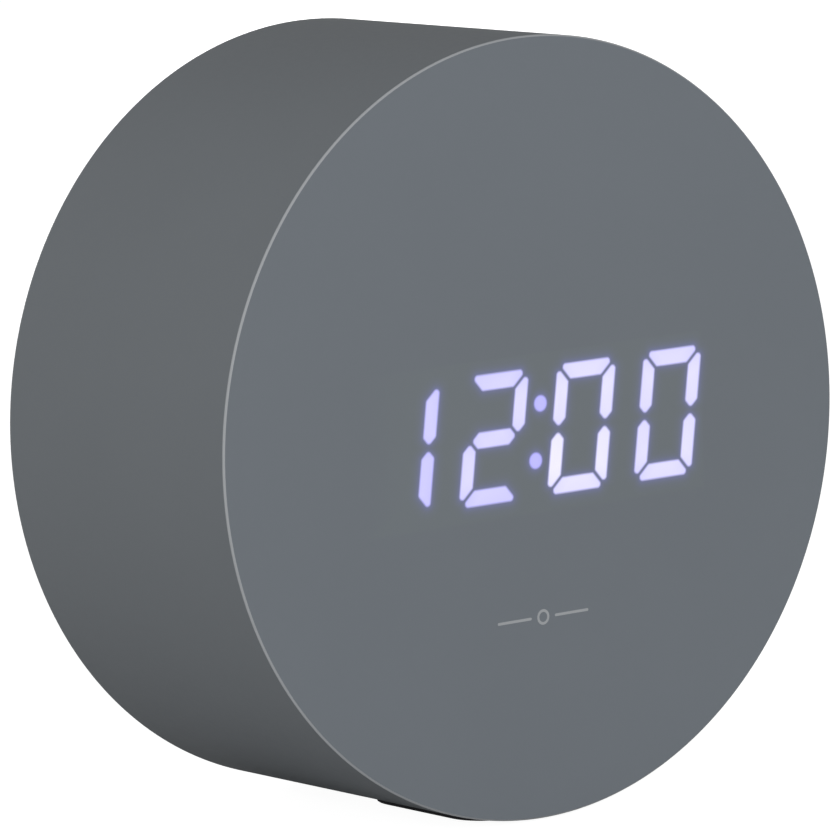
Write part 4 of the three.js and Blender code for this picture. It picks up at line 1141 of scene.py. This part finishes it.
def bell_outline(x, z):
    """A bell: a dome that flares to its rim, as a half outline and its mirror image."""
    half = [(0.0, 1.35), (0.3, 1.25)]
    half += [(0.3 + 0.45 * math.sin(a), 0.75 + 0.45 * math.cos(a)) for a in (0.4, 0.9, 1.4)]
    half += [(0.8, 0.1), (0.95, -0.45), (1.3, -0.85), (0.35, -0.85), (0.25, -1.15), (0.0, -1.25)]
    mirrored = [(-px, pz) for px, pz in half[1:-1]]
    points = [(x + px, z + pz) for px, pz in half + mirrored[::-1]]
    return anticlockwise(points)


def alarm_knob():
    (x0, x1), (y0, y1), (z0, z1) = spans("alarm_switch_knob")
    x, z = centre_of("alarm_switch_knob")
    knob_y, top_y = y1 - KNOB["length"], y1 - KNOB_RIBS["rise"]
    maker = block(x0, x1, knob_y, top_y, z0, z1, 0.4, 0.2)
    joined_y = knob_y + KNOB["overlap"]
    wide, high = KNOB["stem_half_width"], KNOB["stem_half_height"]
    maker.add(block(x - wide, x + wide, y0, joined_y, z - high, z + high, 0.1, 0))
    half, end = KNOB_RIBS["half"], KNOB_RIBS["end"]
    for rib in KNOB_RIBS["at"]:
        low, high = x + rib - half, x + rib + half
        maker.add(block(low, high, y1 - KNOB_RIBS["root"], y1, z0 + end, z1 - end, 0.2, 0.15))
    knob = maker.make("alarm_knob", [button_plastic])
    stands_for(knob, "alarm_slider", "button_caps", "alarm_switch_knob")


def usb_inlet():
    x, z = centre_of("usb_shell")
    width, _, height = extent("usb_shell")
    y0, y1 = spans("usb_shell")[1]
    wall, half = SOCKET["wall"], SOCKET["wall"] / 2
    outline_at = box_outline(x, z, width, height, height / 2 - SLIVER, 10)
    levels = [(0, y0)]
    for a in np.linspace(0, math.pi, 9):
        levels.append((half * math.cos(a) - half, y1 - half + half * math.sin(a)))
    levels.append((-wall, y0 + SOCKET["floor"]))
    maker = Maker()
    maker.skin([maker.ring(outline_at(grow), y) for grow, y in levels])
    shell = maker.make("usb_socket_shell", [nickel])
    stands_for(shell, "casing", "plated_metal", "usb_shell")

    (x0, x1), (y0, y1), (z0, z1) = spans("usb_tongue")
    tongue = block(x0, x1, y0, y1, z0, z1, 0.2, 0.12).make("usb_socket_tongue", [black_plastic])
    stands_for(tongue, "casing", "black_parts", "usb_tongue")
    strips = Maker()
    half, y0, y1 = STRIP["half"], y0 + STRIP["root"], y1 - STRIP["tip"]
    for i in range(STRIP["count"]):
        strip = x + (i - (STRIP["count"] - 1) / 2) * STRIP["pitch"]
        for side in (-1, 1):
            low, high = sorted((z + side * STRIP["from"], z + side * STRIP["to"]))
            strips.add(block(strip - half, strip + half, y0, y1, low, high, 0.02, 0))
    contact_strips = strips.make("usb_contacts", [gold])
    stands_for(contact_strips, "casing", "plated_metal")


def cover_screws():
    for node in SCREWS:
        x, z = centre_of(node)
        y0, y1 = spans(node)[1]
        head, shank, seat_y = extent(node)[0] / 2, SCREW["shank"], y1 - HEAD["height"]
        point, pitch, thread = SCREW["point"], SCREW["pitch"], SCREW["thread"]
        profile = [(0, y0), (shank / 2, y0 + point)]
        for i in range(int((seat_y - SCREW["run_out"] - y0) / pitch)):
            thread_y = y0 + 2 * point + pitch * i
            profile += [(shank - thread, thread_y), (shank, thread_y + thread)]
        corner, dome_y = HEAD["round"], seat_y + HEAD["edge"]
        profile += [(shank - corner, seat_y), (head - corner, seat_y), (head, seat_y + 1.2 * corner)]
        for a in np.linspace(0, 1.35, 8):
            profile.append((head * math.cos(a), dome_y + HEAD["dome"] * math.sin(a)))
        made = revolve(profile + [(0, y1)], 48).move(x, 0, z)
        piece = made.make(node + "_head", [zinc])
        combine(piece, cross_recess(x, y1, z, head), "DIFFERENCE")
        stands_for(piece, "casing", "screws", node)


def cross_recess(x, y, z, head):
    """A tapered cross that a screwdriver fits, turned a little on each screw."""
    tool = Maker()
    tool.skin([tool.ring(cross(head * reach, head * half), depth) for reach, half, depth in RECESS])
    return tool.spin(0.35 + (x + z) * 0.02, "Y").move(x, y, z)


def cross(reach, half):
    """A plus sign whose arms reach that far and are twice half wide."""
    points = []
    for i in range(4):
        c, s = round(math.cos(math.pi / 2 * i)), round(math.sin(math.pi / 2 * i))
        for a, b in ((reach, -half), (reach, half), (half, half)):
            points.append((a * c - b * s, a * s + b * c))
    return points


# ---- cells and contacts

CELL = {"shoulder": 1.2, "round": 0.7, "band_from": 0.72, "nub": 1.9}
COIL = {"turns": 4.5, "wide": 3.7, "narrow": 2.5, "wire": 0.35, "reach": 4.0}
COIL_STEPS = 150
SHEET = {"x": 25.4, "thickness": 0.4, "width": 8.4, "half": 4.0, "corner": 0.8, "edge": 0.08}
SHEET_INNER_X = SHEET["x"] - SHEET["thickness"]
POLE_PROFILE = ((0, 0), (2.2, 0), (2.1, 0.2), (1.7, 0.62), (1.4, 0.7), (0, 0.7))
POLE_OVERLAP = 0.02
TAG = {"half_depth": 1.0, "half_height": 0.2, "overlap": 0.2, "past_wall": 1.6}


def cell_profile(radius, length):
    """A cell's section from its flat end to its nub, and the material of each stretch."""
    shoulder, nub, bend = length - CELL["shoulder"], CELL["nub"], radius - CELL["round"]
    profile = [(0, 0.25), (radius * 0.62, 0.25), (radius * 0.7, 0), (bend, 0)]
    for a in (0.5, 1.0, 1.57):
        profile.append((bend + CELL["round"] * math.sin(a), CELL["round"] * (1 - math.cos(a))))
    sleeve_from = len(profile) - 1
    profile += [(radius, shoulder * CELL["band_from"]), (radius, shoulder - 0.8)]
    profile += [(radius - 0.25, shoulder - 0.15), (radius - 0.8, shoulder)]
    profile += [(radius - 1.3, shoulder - 0.25), (nub + 0.4, shoulder - 0.25), (nub + 0.05, shoulder)]
    profile += [(nub, length - 0.25), (nub - 0.25, length), (0, length)]
    slots = [0] * sleeve_from + [1, 2, 1, 1] + [0] * (len(profile) - sleeve_from - 5)
    return profile, slots


def cells():
    for node in CELLS:
        (x0, x1), (y0, y1), _ = spans(node)
        _, y, z = middle(node)
        way, start = (1, x0) if x0 + x1 > 0 else (-1, x1)
        profile, slots = cell_profile((y1 - y0) / 2, x1 - x0)
        made = revolve(profile, 64, slots).spin(-way * math.pi / 2, "Z").move(start, y, z)
        piece = made.make(node + "_sleeved", [nickel, cell_sleeve, cell_band])
        stands_for(piece, "casing", "cell_wrap", node)


def coil(side, y, z):
    """A conical spring that widens towards its contact sheet."""
    wire, wide, narrow = COIL["wire"], COIL["wide"], COIL["narrow"]
    points = []
    for i in range(COIL_STEPS + 1):
        t = i / COIL_STEPS
        angle = 2 * math.pi * COIL["turns"] * t
        radius = wide + (narrow - wide) * t
        x = side * (SHEET_INNER_X - wire - (COIL["reach"] - 2 * wire) * t)
        points.append((x, y + radius * math.cos(angle), z + radius * math.sin(angle)))
    return tube(points, wire)


def contact_sheet(side, low, high, y):
    """A flat plate against the bay's end wall, with rounded corners."""
    half, edge = SHEET["thickness"] / 2, SHEET["edge"]
    outline_at = box_outline(0, 0, SHEET["width"], high - low, SHEET["corner"])
    sheet = slab(outline_at, -half, half, edge, edge).spin(math.pi / 2, "Z")
    return sheet.move(side * (SHEET["x"] - half), y, (low + high) / 2)


def pole_button(side, y, z):
    made = revolve(POLE_PROFILE, 32).spin(side * math.pi / 2, "Z")
    return made.move(side * (SHEET_INNER_X + POLE_OVERLAP), y, z)


def solder_tag(side, y, z):
    near, far = SHEET["x"] - TAG["overlap"], BAY["width"] / 2 + BAY["wall"] + TAG["past_wall"]
    x0, x1 = sorted((side * near, side * far))
    deep, tall = TAG["half_depth"], TAG["half_height"]
    return block(x0, x1, y - deep, y + deep, z - tall, z + tall, 0.1, 0.05)


def contacts():
    """Each contact is a sheet that spans its fittings, which sit on the cells' centre lines."""
    top, mid, low = (middle(cell)[2] for cell in CELLS)
    y, half = middle(CELLS[0])[1], SHEET["half"]
    fitted = {
        "positive_contact": (1, {pole_button: top, solder_tag: top}),
        "left_link_contact": (-1, {coil: top, pole_button: mid}),
        "right_link_contact": (1, {coil: mid, pole_button: low}),
        "negative_contact": (-1, {coil: low, solder_tag: low}),
    }
    for node, (side, fittings) in fitted.items():
        heights = fittings.values()
        made = contact_sheet(side, min(heights) - half, max(heights) + half, y)
        for fitting, z in fittings.items():
            made.add(fitting(side, y, z))
        piece = made.make(node + "_plate", [nickel])
        stands_for(piece, "casing", "plated_metal", node)


# ---- CAD nodes that stay

KEPT = {
    "display_reflector": reflector_white,
    "display_board": green_board,
    "main_board": green_board,
    "quartz_crystal": nickel,
    "ribbon_cable": ribbon_vinyl,
    "red_battery_lead": red_vinyl,
    "black_battery_lead": black_vinyl,
}


def dress_kept_nodes():
    for name, piece in frame["nodes"].items():
        if name.endswith("_lens"):
            paint = light_guide
        elif "_screw_" in name:
            paint = zinc
        else:
            paint = KEPT.get(name, black_plastic)
        piece.data.materials.clear()
        piece.data.materials.append(paint.material)


# ---- stage, lights and camera

FLOOR_HALF = 12.0
FLOOR_SEEN = {"color": 0.3, "lift": 0.95}  # together they show white to the camera
FLOOR_BOUNCE = 0.5
SKY_STRENGTH = 0.264
VIEW = {"azimuth": -38.68, "elevation": 8.12, "roll": -1.77}
VIEW_DISTANCE = 17.912  # in drum radii
VIEW_SHIFT = (-0.0161, -0.017)  # to the camera's right and up, in drum radii
LENS = 297.3
SENSOR = 36.0
CLIP = (0.05, 50)


def for_the_camera(tree, shown, hidden, surface):
    """Shows one shader to the camera and another to every other ray."""
    path, mix = new_node(tree, "ShaderNodeLightPath"), new_node(tree, "ShaderNodeMixShader")
    tree.links.new(path.outputs["Is Camera Ray"], mix.inputs[0])
    tree.links.new(hidden.outputs[0], mix.inputs[1])
    tree.links.new(shown.outputs[0], mix.inputs[2])
    tree.links.new(mix.outputs[0], surface)


def grey(level):
    return (level, level, level, 1)


def floor():
    """A plain floor that looks white and is duller for every ray but the camera's."""
    near, far = -FLOOR_HALF, FLOOR_HALF
    mesh = bpy.data.meshes.new("floor")
    corners = [(near, near, 0), (far, near, 0), (far, far, 0), (near, far, 0)]
    mesh.from_pydata(corners, [], [(0, 1, 2, 3)])
    pale = bpy.data.materials.new("pale_floor")
    pale.use_nodes = True
    tree = pale.node_tree
    tree.nodes.clear()
    out = new_node(tree, "ShaderNodeOutputMaterial")
    matt = new_node(tree, "ShaderNodeBsdfDiffuse", Color=grey(FLOOR_SEEN["color"]))
    lift = new_node(tree, "ShaderNodeEmission", Strength=FLOOR_SEEN["lift"])
    bounce = new_node(tree, "ShaderNodeBsdfDiffuse", Color=grey(FLOOR_BOUNCE))
    seen = new_node(tree, "ShaderNodeAddShader")
    tree.links.new(matt.outputs[0], seen.inputs[0])
    tree.links.new(lift.outputs[0], seen.inputs[1])
    for_the_camera(tree, seen, bounce, out.inputs["Surface"])
    mesh.materials.append(pale)
    new_object("floor", mesh)


def softbox(name, azimuth, elevation, distance, size, power, mirrored=False):
    """A square area light aimed at the drum's centre from a direction given in degrees. Only a
    mirrored one shows in reflections, so the satin plastic stays matt at every angle."""
    light = bpy.data.lights.new(name, "AREA")
    light.shape = "SQUARE"
    light.size = size
    light.energy = power
    lamp = new_object(name, light)
    away = direction(azimuth, elevation)
    lamp.location = Vector((0, 0, AXIS[2] * MM)) + away * distance
    lamp.rotation_mode = "QUATERNION"
    lamp.rotation_quaternion = (-away).to_track_quat("-Z", "Y")
    lamp.visible_glossy = mirrored


def direction(azimuth, elevation):
    """From the object towards a viewer: azimuth 0 is in front and 90 is to the right."""
    a, e = math.radians(azimuth), math.radians(elevation)
    return Vector((math.sin(a) * math.cos(e), -math.cos(a) * math.cos(e), math.sin(e)))


def world():
    """A dim white sky that looks plain white to the camera."""
    sky = bpy.data.worlds.new("studio")
    sky.use_nodes = True
    tree = sky.node_tree
    light = tree.nodes["Background"]
    light.inputs["Color"].default_value = grey(1)
    light.inputs["Strength"].default_value = SKY_STRENGTH
    backdrop = new_node(tree, "ShaderNodeBackground", Color=grey(1))
    for_the_camera(tree, backdrop, light, tree.nodes["World Output"].inputs["Surface"])
    bpy.context.scene.world = sky


def camera():
    data = bpy.data.cameras.new("view")
    data.lens = LENS
    data.sensor_width = SENSOR
    data.clip_start, data.clip_end = CLIP
    viewer = new_object("view", data)
    back = direction(VIEW["azimuth"], VIEW["elevation"])
    azimuth, roll = math.radians(VIEW["azimuth"]), math.radians(VIEW["roll"])
    level = Vector((math.cos(azimuth), math.sin(azimuth), 0))
    upright = back.cross(level)
    right = math.cos(roll) * level + math.sin(roll) * upright
    up = math.cos(roll) * upright - math.sin(roll) * level
    target = Vector((0, 0, AXIS[2] * MM))
    place = VIEW_DISTANCE * back + VIEW_SHIFT[0] * right + VIEW_SHIFT[1] * up
    turned = Matrix((right, up, back)).transposed().to_4x4()
    viewer.matrix_world = Matrix.Translation(target + RADIUS * MM * place) @ turned
    bpy.context.scene.camera = viewer


# ---- the scene

drum_shell()
feet()
face_film()
rear_panel()
bay_cradles()
battery_door()
button_caps()
icons()
alarm_knob()
usb_inlet()
cover_screws()
cells()
contacts()
dress_kept_nodes()

floor()
world()
softbox("front_light", -5, 17, 1.5, 1.1, 14.8)
softbox("left_light", -90, 10, 1.5, 1.1, 10.4)
softbox("rear_light", 152, 6, 1.5, 0.5, 7)
softbox("rear_glint", 168, 2, 1.5, 0.25, 3, mirrored=True)
camera()

scene = bpy.context.scene
scene.view_settings.view_transform = "Standard"
scene.view_settings.look = "None"
